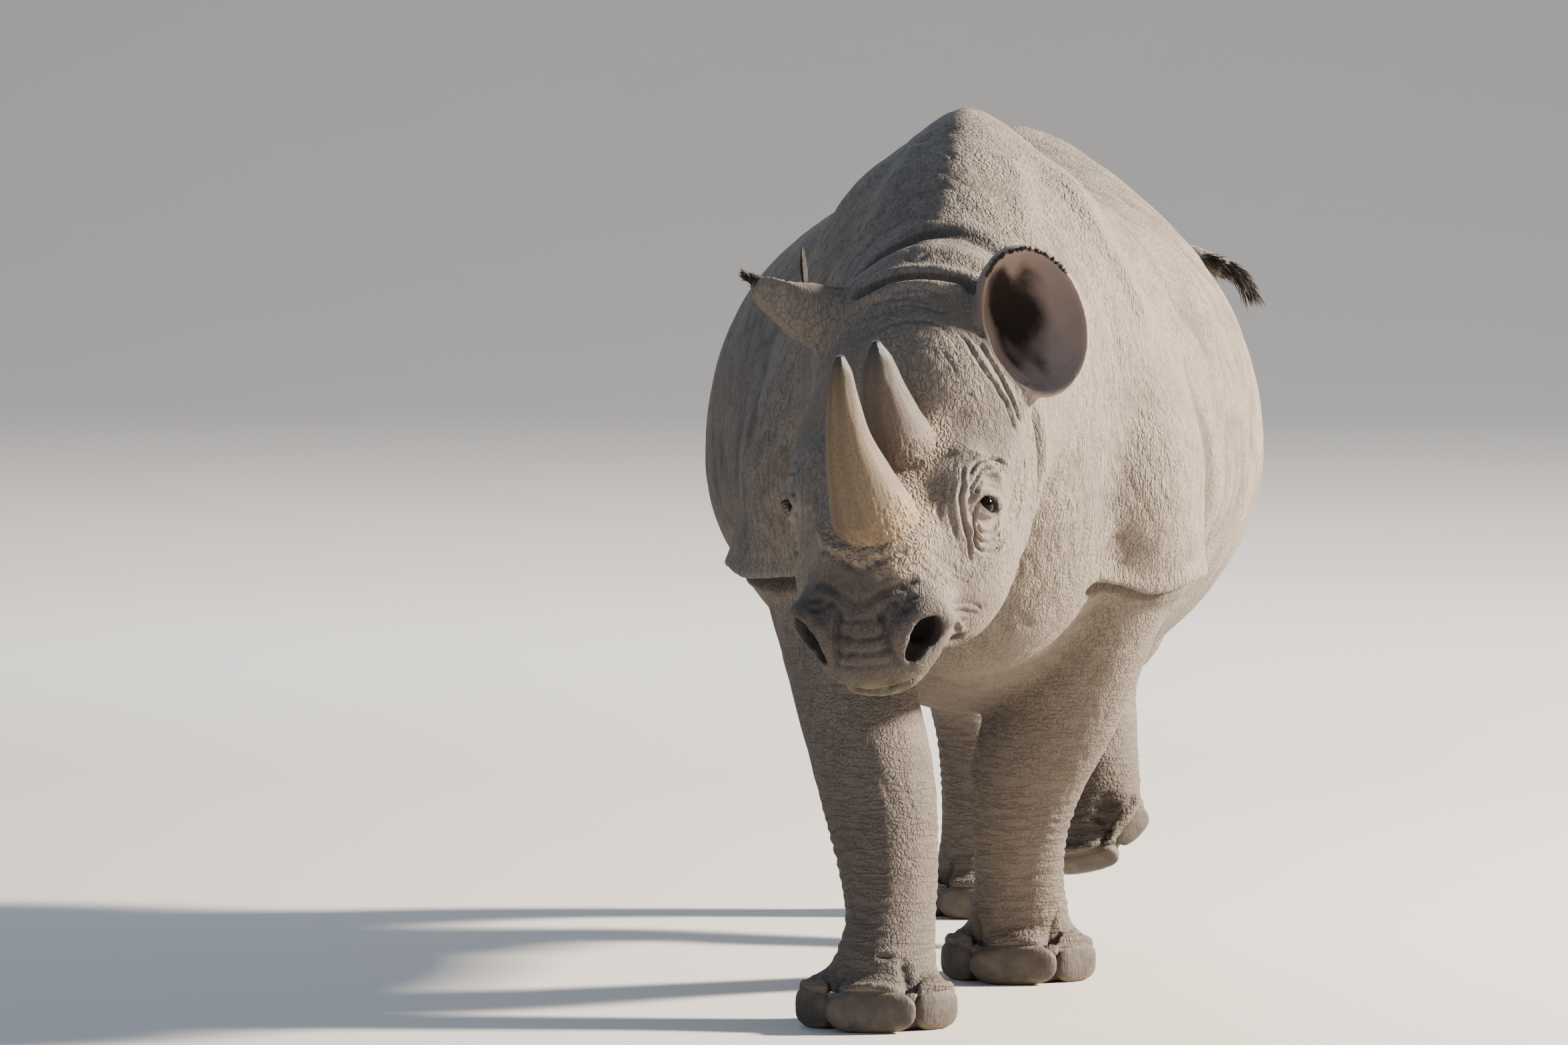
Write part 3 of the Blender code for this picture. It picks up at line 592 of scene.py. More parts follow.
# --- Creases ----------------------------------------------
@dataclass
class Crease:
    """A groove or a raised fold of hide along a curve.

    Attributes:
        stations: What its curve passes through.
        width: How far to each side its effect falls to a third.
        depth: How deep it goes. A fold that stands up has a negative depth.
        lip: Height of the pads on both sides, as a share of the depth.
        axes: The axes that the stations are given in.
        paired: The same on the other side of the axes' midline.
        spans: How many straight runs stand for the curve.
    """

    stations: tuple[Point, ...]
    width: float = 0.006
    depth: float = 0.006
    lip: float = 0.35
    axes: Axes = HEAD
    paired: bool = True
    spans: int = 12

    def relief(self, points: Array, normals: Array) -> tuple[Array, Array]:
        """Numbers of the points it moves, and how far out each goes: -depth exp(-(d/w)^2), with
        lips of +lip depth exp(-((d - 2.2w)/w)^2), fading at the ends of the curve.

        Args:
            points: Points of the plan of the body.
            normals: The skin's normals there.

        Returns:
            Numbers of the points that it moves, and how far each goes out.
        """
        path = smooth_curve(self.stations, self.spans + 1)
        local = self.axes.to_local(points)
        facing = normals @ self.axes.columns
        if self.paired:
            side = self.axes.side
            facing[:, side] *= np.where(local[:, side] < 0, -1, 1)
            local[:, side] = np.abs(local[:, side])
        reach = 5 * self.width + 0.012
        near = ((local > path.min(0) - reach) & (local < path.max(0) + reach)).all(1)
        near = np.flatnonzero(near)
        if not len(near):
            return near, np.zeros(0)
        local = local[near]
        path = self.laid(path, local, facing[near])
        slow = points[near] / max(0.025, 6 * self.width)
        wander = min(self.width, 0.005)
        local = local + wander * np.stack([noise(slow, seed) for seed in (61, 62, 63)], 1)
        best = np.full(len(near), FAR)
        place = np.zeros(len(near))
        for number, (start, end) in enumerate(zip(path[:-1], path[1:])):
            run = end - start
            share = np.clip((local - start) @ run / (run @ run), 0, 1)
            distance = np.linalg.norm(local - start - share[:, None] * run, axis=1)
            closer = distance < best
            best = np.where(closer, distance, best)
            place = np.where(closer, (number + share) / self.spans, place)
        fade = ramp(place, 0, 0.2) * ramp(1 - place, 0, 0.2)
        floor = np.exp(-((best / self.width) ** 2))
        lips = np.exp(-(((best - 2.2 * self.width) / self.width) ** 2))
        return near, self.depth * fade * (self.lip * lips - floor)

    @staticmethod
    def laid(path: Array, surface: Array, facing: Array) -> Array:
        """The path moved onto the surface: each place goes along the normal of its nearest point
        to that point's tangent plane.

        Args:
            path: Places along the curve.
            surface: Points of the skin near it.
            facing: Their normals.

        Returns:
            The places on the skin.
        """
        square = ((path[:, None] - surface[None]) ** 2).sum(-1)
        nearest_one = square.argmin(1)
        off = ((path - surface[nearest_one]) * facing[nearest_one]).sum(1)
        off = np.where(square.min(1) < 0.03**2, off, 0)
        return path - off[:, None] * facing[nearest_one]


def grooves(axes: Axes, paired: bool, *rows: tuple) -> list[Crease]:
    """Creases in the same axes. A row is width, depth and lip, then the stations in millimetres."""
    return [Crease(metres(*stations), width, depth, lip, axes, paired)
            for width, depth, lip, *stations in rows]


def fan(first: tuple[Point, ...], last: tuple[Point, ...], count: int, width: float, depth: float,
        **more: object) -> list[Crease]:
    """Creases spread between two, of uneven spacing, depth and length.

    Args:
        first: Stations of the first crease.
        last: Stations of the last.
        count: How many there are.
        width: Width of each.
        depth: Mean depth.
        more: Other fields of a crease.

    Returns:
        The creases.
    """
    made = []
    for number, share in enumerate(np.linspace(0, 1, count)):
        share += 0.30 / count * math.sin(2.9 * number + 1.0)
        stations = (1 - share) * np.asarray(first) + share * np.asarray(last)
        if number % 3 == 1:
            stations[0] += 0.6 * (stations[1] - stations[0])
        if number % 3 == 2:
            stations[-1] += 0.6 * (stations[-2] - stations[-1])
        varied = depth * (1 - 0.40 * math.sin(2.4 * number + 0.6))
        made.append(Crease(tuple(map(tuple, stations)), width, varied, **more))
    return made


# --- The body ---------------------------------------------
def masses(axes: Axes, *rows: tuple) -> list[Form]:
    """Ellipsoids in the same axes. A row is centre, radii, turn, blend and whether it is paired."""
    return [Mass(axes, blend, paired, False, centre, radii, turn)
            for centre, radii, turn, blend, paired in rows]


@dataclass
class Trunk:
    """Barrel, hump, shoulder blades, brisket and hips, with the tail."""

    withers: tuple[float, float] = (-0.52, 1.59)      # y and height of the top of the hump
    rump: float = 1.54
    back: float = 1.445
    belly: float = 0.475
    half_width: float = 0.505

    def forms(self) -> list[Form]:
        """The barrel and what lies on it."""
        stations = (
            # y, top, bottom, half width, sideways, roundness above
            (-1.00, 1.22, 0.92, 0.05, -0.005, 2.0),
            (-0.92, 1.34, 0.78, 0.17, -0.005, 2.0),
            (-0.78, 1.48, 0.66, 0.25, 0.0, 1.75),
            (*self.withers, 0.56, 0.33, -0.006, 1.62),
            (-0.25, 1.53, 0.50, 0.42, -0.015, 1.7),
            (0.08, self.back, self.belly, self.half_width, -0.035, 2.25),
            (0.40, 1.48, 0.49, 0.50, -0.03, 2.1),
            (0.72, self.rump, 0.585, 0.435, -0.015, 1.62),
            (0.98, 1.45, 0.70, 0.34, -0.01, 1.85),
            (1.16, 1.30, 0.76, 0.22, -0.005, 2.0),
            (1.27, 1.12, 0.92, 0.06, 0.0, 2.0),
        )
        tail = (
            (0.00, 1.12, 1.22, 0.055, 0.060),
            (0.05, 1.26, 1.25, 0.036, 0.040),
            (0.17, 1.33, 1.275, 0.026, 0.030),
            (0.28, 1.31, 1.272, 0.021, 0.026),
            (0.345, 1.28, 1.250, 0.016, 0.021),
        )
        return [
            Barrel(blend=0.06, stations=stations),
            Limb(blend=0.05, stations=tail, side=(0, 1, 0), spans=12),
            *masses(
                PLAN,
                ((0.23, -0.52, 1.12), (0.10, 0.17, 0.34), (0, -14, 0), 0.10, True),
                ((0.30, -0.46, 0.93), (0.105, 0.22, 0.20), (0, 0, 0), 0.08, True),
                ((0, -0.74, 0.80), (0.20, 0.18, 0.19), (0, 0, 0), 0.10, False),
                ((0.255, 0.79, 0.93), (0.14, 0.235, 0.32), (-12, -4, 0), 0.08, True),
            ),
        ]

    def creases(self) -> list[Crease]:
        """Folds of the shoulders, flanks, rump and brisket."""
        return [
            *grooves(PLAN, False,
                (0.030, -0.008, 0, (71, -664, 1513), (102, -721, 1467), (129, -845, 1377)),
                (0.030, -0.008, 0, (-60, -620, 1520), (-103, -667, 1486), (-150, -811, 1375)),
                (0.034, -0.012, 0, (137, -565, 1498), (208, -611, 1418), (242, -623, 1358),
                 (294, -589, 1263), (332, -546, 1168)),
                (0.034, 0.0055, 0.3, (-335, -360, 1300), (-365, -400, 1156), (-375, -550, 1065),
                 (-385, -627, 966)),
                (0.030, 0.007, 0.3, (330, -300, 1330), (405, -270, 1150), (430, -250, 960), (410, -240, 780)),
            ),
            Crease(metres((360, 500, 1160), (400, 530, 980), (380, 500, 800), (310, 430, 660)), 0.030, 0.010,
                   0.3, PLAN, True),
            Crease(metres((100, 1160, 1240), (200, 1080, 1100), (260, 1050, 920), (240, 1030, 740)), 0.018,
                   0.010, 0.3, PLAN, True),
        ]


@dataclass
class Neck:
    """The neck, from the shoulders to the back of the head, and the roll of hide behind the ears."""

    def forms(self) -> list[Form]:
        """The neck and its roll."""
        neck = (
            (0, -0.55, 1.13, 0.29, 0.40),
            (0, -0.75, 1.11, 0.255, 0.335),
            (-0.01, -0.92, 1.10, 0.225, 0.265),
            (-0.025, -1.08, 1.07, 0.19, 0.21),
        )
        roll = metres((-185, -1015, 1200, 30, 30), (-120, -1020, 1280, 38, 36),
                      (-20, -1012, 1322, 42, 41), (70, -1025, 1292, 38, 36), (125, -1045, 1210, 30, 30))
        return [
            Limb(blend=0.06, stations=neck, spans=9),
            Limb(blend=0.035, stations=roll, side=(0, 1, 0), spans=14),
        ]

    def creases(self) -> list[Crease]:
        """The deep groove between roll and crown, a second one behind the roll, and throat folds."""
        return [
            Crease(metres((43, -116, 140), (35, -72, 158), (19, -24, 165), (12, 12, 164), (8, 65, 152),
                          (11, 100, 138), (39, 130, 135)), 0.012, 0.030, 0.25, HEAD, False),
            *grooves(PLAN, False,
                (0.016, 0.010, 0.3, (-170, -955, 1270), (-100, -940, 1335), (-10, -930, 1360),
                 (80, -940, 1335), (150, -960, 1250)),
                (0.016, 0.012, 0.4, (150, -1130, 1100), (175, -1100, 1000), (165, -1090, 900),
                 (120, -1090, 820)),
                (0.016, 0.012, 0.4, (-220, -1030, 1100), (-245, -1000, 1000), (-220, -1000, 880)),
            ),
        ]


@dataclass
class Lids:
    """Bulging lids with a slit over an eyeball. In its axes X runs to the inner corner of the eye,
    Y up to the brow and Z out of the head."""

    centre: Point
    ball: float = 0.019
    slit: tuple[float, float] = (0.0235, 0.0108)
    tilt: float = -20.0         # how far the inner corner lies lower, in degrees
    sunk: float = 0.0065        # how far the middle of the ball lies behind the eye's place

    def axes(self) -> Axes:
        """The axes of the eye on the left, mirrored onto the right."""
        return aimed(self.centre, (0.29, 0.89, 0.35), (-0.84, 0.05, 0.54), HEAD)

    def middles(self) -> Array:
        """The places of the left and the right eye, in the plan of the body."""
        return self.axes().to_plan(np.zeros((1, 3)))

    def forms(self) -> list[Form]:
        """Lids, the heavy fold over them, the pouch below, and the slit with its tear groove."""
        axes, ball = self.axes(), self.ball
        wide, high = self.slit
        hood = metres((-36, -6, 4), (-26, 9, 13), (-6, 16.5, 19), (16, 14.5, 17), (34, 1, 9))
        under = metres((-30, -10, 6), (-15, -16, 13), (4, -18, 14.5), (24, -11, 11))
        return [
            Mass(axes, 0.022, False, True, (0.0, -0.002, 0.050), (0.062, 0.050, 0.040)),
            Mass(axes, 0.008, False, False, (0.0, 0.0, -0.001), (0.033, 0.0285, ball + 0.0045),
                 late=True),
            Limb(axes, 0.005, stations=tuple((*p, 0.0070, 0.0070) for p in hood), spans=10, late=True),
            Limb(axes, 0.005, stations=tuple((*p, 0.0038, 0.0038) for p in under), spans=8, late=True),
            Mass(axes, 0.003, False, True, (-0.001, -0.001, 0.014), (wide, high, 0.024),
                 (0, 0, self.tilt), late=True),
            Mass(axes, 0.004, False, True, (wide + 0.004, -0.012, 0.013), (0.013, 0.0032, 0.008),
                 (0, 0, self.tilt), late=True),
        ]


@dataclass
class Nostril:
    """A comma-shaped hole in a rolled rim. X runs across the hole, Y up and Z out of it."""

    centre: Point = (0.664, 0.098, -0.008)

    def axes(self) -> Axes:
        """The axes of the nostril on the left, mirrored onto the right."""
        return aimed(self.centre, (0.80, 0.58, 0.14), (-0.55, 0.30, 0.75), HEAD)

    def forms(self) -> list[Form]:
        """The rim that rolls round the hole, and the hole with its tail."""
        axes = self.axes()
        rim = metres((-6, -48, -12), (-34, -28, -4), (-40, 6, -3), (-18, 36, -5), (18, 43, -10),
                     (42, 24, -15))
        return [
            Limb(axes, 0.018, stations=tuple((*p, 0.015, 0.015) for p in rim), spans=12),
            Mass(axes, 0.006, False, True, (0.004, 0.007, 0.002), (0.028, 0.032, 0.034), (0, 0, 25)),
            Mass(axes, 0.006, False, True, (-0.008, -0.024, 0.000), (0.020, 0.026, 0.028), (0, 0, -10)),
            Mass(axes, 0.010, False, True, (0.000, 0.000, -0.032), (0.030, 0.032, 0.034)),
        ]


@dataclass
class Head:
    """Skull, cheeks, brows, horn bosses, muzzle, lips and chin, in the head's own axes."""

    eye: Point

    def forms(self) -> list[Form]:
        """Everything on the head but its ears."""
        skull = metres((60, 0, -20, 125, 130), (160, 0, -40, 145, 150), (280, 0, -55, 155, 160),
                       (400, 0, -55, 150, 158), (500, 0, -45, 133, 148), (575, 0, -45, 116, 125),
                       (630, 0, -50, 98, 95))
        flat = (0, 0, 0)
        return [
            Limb(HEAD, 0.05, stations=skull, side=(0, 1, 0), spans=14),
            *masses(
                HEAD,
                ((0.045, 0, 0.090), (0.06, 0.115, 0.067), flat, 0.06, False),   # crown
                ((0.32, 0.130, 0.000), (0.15, 0.062, 0.050), (0, 0, -5), 0.06, True),   # cheekbone
                ((0.32, 0.118, -0.115), (0.18, 0.076, 0.105), (0, 0, -6), 0.07, True),   # jaw muscle
                ((0.46, 0.112, -0.118), (0.12, 0.066, 0.075), (0, 0, -8), 0.05, True),   # cheek
                ((0.37, 0.112, 0.050), (0.07, 0.045, 0.035), flat, 0.04, True),   # brow
                ((0.345, 0, 0.072), (0.09, 0.085, 0.045), flat, 0.05, False),   # horn bosses
                ((0.515, 0, 0.060), (0.10, 0.088, 0.065), flat, 0.05, False),
                ((0.615, 0.088, -0.020), (0.055, 0.045, 0.058), flat, 0.04, True),   # nostril wing
                ((0.655, 0, -0.070), (0.050, 0.080, 0.042), flat, 0.04, False),   # upper lip
                ((0.672, 0, -0.098), (0.032, 0.040, 0.030), flat, 0.03, False),   # its hook
                ((0.600, 0, -0.148), (0.075, 0.068, 0.034), flat, 0.03, False),   # chin
            ),
            *Lids(self.eye).forms(),
            *Nostril().forms(),
        ]

    def creases(self) -> list[Crease]:
        """Wrinkles of the face."""
        return [
            *self.round_the_eye(),
            *self.on_the_forehead(),
            *self.on_the_muzzle(),
        ]

    def round_the_eye(self) -> list[Crease]:
        """Grooves in front of the eye, pouches below it, and arches over and behind it."""
        return [
            *grooves(HEAD, True,
                (0.0036, 0.0046, 0.35, (360, 140, 85), (393, 142, 76), (428, 140, 63), (446, 140, 46),
                 (465, 143, 23), (483, 148, -11), (500, 150, -40)),
                (0.0034, 0.0045, 0.35, (425, 157, 40), (433, 157, 32), (456, 156, 11), (480, 155, -24)),
                (0.0036, 0.0030, 0.35, (400, 128, 86), (440, 125, 72), (470, 128, 45), (492, 132, 10)),
                (0.0040, 0.0030, 0.35, (415, 112, 92), (455, 112, 78), (485, 116, 50)),
            ),
            *fan(metres((437, 158, 26), (445, 160, 5), (437, 168, -12), (412, 178, -20), (388, 184, -14)),
                 metres((448, 152, 30), (470, 155, 0), (466, 165, -32), (436, 176, -58), (398, 186, -60)), 5,
                 0.0031, 0.0052),
            *fan(metres((428, 158, 36), (405, 160, 45), (383, 167, 45), (365, 178, 32), (362, 188, 10)),
                 metres((420, 150, 64), (385, 155, 76), (345, 165, 66), (322, 183, 38), (327, 195, 2)), 5,
                 0.0031, 0.0050),
            Crease(metres((362, 112, 92), (340, 136, 82), (338, 160, 62), (349, 181, 30), (363, 189, 7)),
                   0.012, -0.006, 0),
            *fan(metres((300, 200, 10), (306, 200, -2), (330, 198, -18), (354, 194, -29), (387, 187, -40)),
                 metres((262, 204, -20), (275, 204, -45), (305, 201, -72), (351, 195, -90),
                        (400, 188, -92)), 4, 0.0034, 0.0028),
        ]

    def on_the_forehead(self) -> list[Crease]:
        """Folds that sweep down from ears to cheeks, and shallow arches over the forehead."""
        return [
            *fan(metres((63, 152, 111), (90, 170, 65), (131, 191, 30), (159, 210, -10)),
                 metres((122, 98, 155), (176, 143, 124), (216, 181, 64), (268, 202, -4)), 10, 0.0036, 0.0034),
            *fan(metres((130, 82, 163), (186, 125, 138), (232, 166, 84), (285, 192, 24)),
                 metres((150, 50, 172), (205, 90, 155), (255, 135, 112), (305, 170, 62)), 4, 0.0034, 0.0012),
            Crease(metres((162, -104, 155), (147, -38, 170), (135, 0, 177), (125, 35, 176),
                          (130, 78, 166), (162, 104, 155)), 0.0055, 0.0028, paired=False),
            *fan(metres((56, -100, 155), (48, 0, 172), (56, 100, 155)),
                 metres((110, -95, 160), (100, 0, 178), (110, 95, 160)), 6, 0.0040, 0.0022, paired=False),
        ]

    def on_the_muzzle(self) -> list[Crease]:
        """V folds, steps of the upper lip, folds round nostril and cheek, the mouth and collars."""
        return [
            *grooves(HEAD, True,
                (0.0055, 0.0055, 0.3, (562, 85, 86), (570, 60, 98), (591, 32, 102), (610, -10, 95)),
                (0.0055, 0.0065, 0.3, (595, 95, 45), (607, 75, 57), (630, 42, 62), (652, -10, 53)),
                (0.0045, 0.0045, 0.2, (620, 95, 35), (627, 83, 44), (640, 54, 47), (660, 36, 40)),
            ),
            Crease(metres((596, 0, 105), (606, 0, 97), (634, 0, 70), (663, 0, 44)), 0.0045, 0.0030, 0.2,
                   paired=False),
            *grooves(HEAD, True,
                (0.0045, 0.0040, 0.2, (660, 42, 37), (668, 25, 37), (672, -10, 38)),
                (0.0045, 0.0055, 0.2, (680, 45, 18), (690, 25, 18), (694, -10, 19)),
                (0.0045, 0.0050, 0.2, (698, 52, -8), (707, 28, -4), (711, -10, -1)),
                (0.0040, 0.0030, 0.2, (706, 55, -30), (716, 30, -26), (721, -10, -23)),
                (0.0055, 0.0075, 0.2, (648, 30, 46), (660, 36, 40), (686, 40, 17), (704, 48, -12),
                 (709, 60, -45)),
            ),
            *fan(metres((570, 80, 68), (578, 87, 62), (585, 116, 24), (591, 129, -10)),
                 metres((540, 95, 60), (530, 116, 24), (516, 136, -34), (500, 157, -75)), 6, 0.0034, 0.0026),
            Crease(metres((632, 52, 46), (641, 63, 43), (648, 91, 29), (640, 118, 15)), 0.0045, 0.0045, 0.2),
            *fan(metres((612, 136, -23), (592, 133, -44), (574, 135, -64), (562, 145, -80),
                        (560, 150, -98)),
                 metres((590, 133, 0), (562, 135, -34), (538, 140, -66), (524, 150, -92), (530, 152, -124)),
                 4, 0.0034, 0.0032),
            *grooves(HEAD, True,
                (0.022, -0.006, 0, (571, 128, -90), (585, 128, -92)),
                (0.0065, 0.016, 0.25, (700, -20, -90), (712, 20, -82), (706, 48, -82), (690, 76, -88),
                 (655, 104, -104), (605, 130, -118), (575, 142, -118)),
                (0.0055, 0.005, 0.35, (560, 130, -140), (590, 112, -150), (630, 85, -150)),
                (0.010, -0.007, 0, (491, 100, 70), (540, 78, 100), (575, 45, 112), (586, -10, 114)),
                (0.010, -0.004, 0, (300, 80, 105), (345, 78, 112), (400, 70, 106)),
            ),
        ]


@dataclass
class Ear:
    """A trumpet of hide: a stalk from the crown that opens into a dish with a deep canal. In its
    axes X runs across the dish, Y along its long side and Z out of the opening."""

    root: Point
    middle: Point
    long_side: Point
    facing: Point
    half_length: float
    half_width: float
    canal: float                # how far the canal lies to one side of the dish
    depth: float = 0.075
    wall: float = 0.012
    stalk: float = 0.050        # radius of the stalk
    lift: float = 0.055         # how high the middle of the hollow lies
    outward: float = 0.0        # how far the hollow is moved to the tip
    tips: tuple = ()            # thin points of the rim: centre, radii and turn of each

    def axes(self) -> Axes:
        """The dish's own axes."""
        return aimed(self.middle, self.facing, self.long_side)

    def forms(self) -> list[Form]:
        """Dish and stalk, less the hollow and the canal, and the points of the rim."""
        axes, wall = self.axes(), self.wall
        long, wide = self.half_length, self.half_width
        behind = axes.to_plan((0, -0.1 * long, -0.55 * self.depth))
        halfway = 0.5 * (np.array(self.root) + behind)
        thick = self.stalk
        stalk = ((*self.root, 1.1 * thick, 1.1 * thick), (*halfway, thick, thick),
                 (*behind, thick, thick))
        inner = (wide - wall * 0.6, long - wall * 0.6 - self.outward, self.depth + self.lift - wall)
        canal = (0.55 * wide - 0.012, 0.5 * long, 0.4 * self.depth)
        return [
            Mass(axes, 0.02, radii=(wide, long, self.depth)),
            Limb(blend=0.04, stations=stalk, side=(0.3, 0.9, 0.1), spans=4),
            Mass(axes, 0.012, False, True, (0, self.outward, self.lift), inner),
            Mass(axes, 0.020, False, True, (self.canal, -0.01, -0.45 * self.depth), canal),
            *(Mass(PLAN, 0.008, False, False, *tip, late=True) for tip in self.tips),
        ]

    def rim(self, angle: Array) -> Array:
        """Points on the rim of the dish, in the plan of the body, at angles from X to Y."""
        wide, long = 0.93 * self.half_width, 0.93 * self.half_length
        height = np.full(len(angle), 0.40 * self.depth)
        return self.axes().to_plan(np.stack([wide * np.cos(angle), long * np.sin(angle), height], 1))


@dataclass
class Foreleg:
    """A foreleg and the sleeve of shoulder hide that hangs over it."""

    stations: tuple[Row, ...]
    sleeve: tuple[Row, ...]
    edge: tuple[Point, ...]

    def forms(self) -> list[Form]:
        """Leg, and sleeve with a sharp lower edge."""
        return [
            Limb(blend=0.03, stations=self.stations, spans=15),
            Limb(blend=0.05, stations=self.sleeve, side=(0, 0, 1), spans=8),
        ]

    def creases(self) -> list[Crease]:
        """The deep line under the sleeve's edge, and the roll of the edge itself."""
        above = tuple((x, y, z + 0.022) for x, y, z in self.edge)
        return [
            Crease(self.edge, 0.014, 0.030, 0.0, PLAN, False),
            Crease(above, 0.021, -0.019, 0.0, PLAN, False),
        ]


@dataclass
class Hindleg:
    """A hind leg and its knee, which bulges out of the flank."""

    stations: tuple[Row, ...]
    knee: Point
    thickness: float

    def forms(self) -> list[Form]:
        """Leg and knee."""
        return [
            Limb(blend=0.05, stations=self.stations, spans=15),
            Mass(PLAN, 0.06, centre=self.knee, radii=(self.thickness, 0.15, 0.17), turn=(-25, 0, 0)),
        ]


@dataclass
class Foot:
    """A foot with three toes. In its axes X runs left to right, Y back from the toes and Z up.

    Attributes:
        name: Which foot it is.
        sole: The middle of its sole.
        size: Half the width across the toes.
        droop: How far the toes hang down, in degrees.
        roll: How far its left side is rolled down, in degrees.
    """

    name: str
    sole: Point
    size: float
    droop: float = 0
    roll: float = 0

    def axes(self) -> Axes:
        """The foot's own axes."""
        return Axes(turned(self.droop, "X") @ turned(self.roll, "Y"), np.array(self.sole))

    def scaled(self, point: Point) -> Point:
        """A point or three radii given in half widths of the foot."""
        return tuple(self.size * value for value in point)

    def row(self, *points: Point) -> tuple[Point, ...]:
        """Several points given in half widths of the foot."""
        return tuple(self.scaled(point) for point in points)

    def forms(self) -> list[Form]:
        """Heel pad, middle toe and two side toes, parted by clefts, with their cuticles."""
        axes = self.axes()
        toes = [((0, 0.02, 0.30), (0.86, 0.98, 0.55), 0.04, False),
                ((0, -0.55, 0.28), (0.62, 0.50, 0.46), 0.012, False),
                ((0.66, -0.12, 0.28), (0.36, 0.58, 0.48), 0.012, True)]
        made: list[Form] = [Mass(axes, blend, paired, False, self.scaled(centre), self.scaled(radii))
                            for centre, radii, blend, paired in toes]
        made.append(Mass(axes, 0.010, True, True, self.scaled((0.53, -0.78, 0.25)),
                         self.scaled((0.035, 0.30, 0.55)), (0, 0, -32)))
        middle = ((-0.52, -0.90, 0.48), (-0.28, -1.00, 0.59), (0, -1.035, 0.63), (0.28, -1.00, 0.59),
                  (0.52, -0.90, 0.48))
        outer = ((0.54, -0.70, 0.53), (0.66, -0.65, 0.60), (0.82, -0.49, 0.62), (0.94, -0.33, 0.59),
                 (0.98, -0.16, 0.52))
        for cuticle in (middle, outer, tuple((-x, y, z) for x, y, z in outer)):
            stations = tuple((*self.scaled(point), 0.0100, 0.0100) for point in cuticle)
            made.append(Limb(axes, 0.022, stations=stations, spans=6))
        return made

    def creases(self) -> list[Crease]:
        """The clefts between the toes, carried up over the foot, and folds above the toes."""
        axes, row = self.axes(), self.row
        return [
            Crease(row((0.55, -0.80, 0.10), (0.53, -0.78, 0.45), (0.46, -0.66, 0.80),
                       (0.40, -0.55, 1.05)), 0.008, 0.007, 0.2, axes),
            Crease(row((-0.50, -0.90, 0.80), (0, -1.0, 0.86), (0.50, -0.90, 0.80)),
                   0.006, 0.004, 0.4, axes, False),
            Crease(row((0.60, -0.66, 0.82), (0.95, -0.45, 0.80), (1.02, 0.0, 0.80)),
                   0.006, 0.004, 0.4, axes),
            Crease(row((-0.70, -0.70, 1.05), (0, -0.80, 1.12), (0.70, -0.70, 1.05)),
                   0.007, 0.004, 0.4, axes, False),
        ]


# --- Meshes -----------------------------------------------
def new_object(name: str, points: Array, faces: Array) -> bpy.types.Object:
    """A smooth-shaded object from plan points and faces that all have the same number of corners.

    Args:
        name: Its name.
        points: Its vertices, in the plan of the body.
        faces: Numbers of vertices, one row for each face.

    Returns:
        The object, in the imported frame.
    """
    mesh = bpy.data.meshes.new(name)
    mesh.vertices.add(len(points))
    mesh.vertices.foreach_set("co", (points + SHIFT).astype(np.float32).ravel())
    mesh.loops.add(faces.size)
    mesh.loops.foreach_set("vertex_index", faces.astype(np.int32).ravel())
    mesh.polygons.add(len(faces))
    starts = np.arange(0, faces.size, faces.shape[1], dtype=np.int32)
    mesh.polygons.foreach_set("loop_start", starts)
    mesh.update(calc_edges=True)
    mesh.shade_smooth()
    thing = bpy.data.objects.new(name, mesh)
    bpy.context.scene.collection.objects.link(thing)
    return thing


def points_of(thing: bpy.types.Object) -> Array:
    """An object's vertices, in the plan of the body."""
    values = np.empty(len(thing.data.vertices) * 3, np.float32)
    thing.data.vertices.foreach_get("co", values)
    return values.reshape(-1, 3).astype(float) - SHIFT


def mark(thing: bpy.types.Object, name: str, values: Array) -> None:
    """Gives each vertex a number that its material reads by name."""
    attribute = thing.data.attributes.new(name, "FLOAT", "POINT")
    attribute.data.foreach_set("value", values.astype(np.float32))


def vertex_normals(points: Array, quads: Array) -> Array:
    """Unit normals: the mean of the cross products of the diagonals of the faces round a vertex.

    Args:
        points: The vertices.
        quads: Four numbers of vertices for each face.

    Returns:
        One normal for each vertex.
    """
    corners = points[quads]
    across = np.cross(corners[:, 2] - corners[:, 0], corners[:, 3] - corners[:, 1])
    total = np.stack(
        [np.bincount(quads.ravel(), np.repeat(across[:, n], 4), len(points)) for n in range(3)], 1
    )
    return total / np.maximum(np.linalg.norm(total, axis=1), 1e-12)[:, None]


def sheet_faces(rows: int, columns: int, closed: bool = True) -> Array:
    """Quads of a grid of rows by columns. A closed grid joins its last column to its first.

    Args:
        rows: How many rows there are.
        columns: How many points there are in a row.
        closed: Whether the rows are rings.

    Returns:
        Four numbers of points for each face.
    """
    row, column = np.meshgrid(np.arange(rows - 1), np.arange(columns if closed else columns - 1),
                              indexing="ij")
    near, far = row * columns, (row + 1) * columns
    following = (column + 1) % columns
    return np.stack([near + column, near + following, far + following, far + column], -1).reshape(-1, 4)


def dress(thing: bpy.types.Object, material: bpy.types.Material, slot: str,
          replaced: Iterable[str] = ()) -> None:
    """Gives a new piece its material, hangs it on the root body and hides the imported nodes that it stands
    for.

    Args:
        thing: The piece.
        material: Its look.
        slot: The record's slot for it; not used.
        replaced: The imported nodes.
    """
    thing.data.materials.append(material)
    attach(thing, "root")
    if replaced:
        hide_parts(*replaced)
    LOG.info("%s: %d vertices, %d faces", thing.name, len(thing.data.vertices), len(thing.data.polygons))


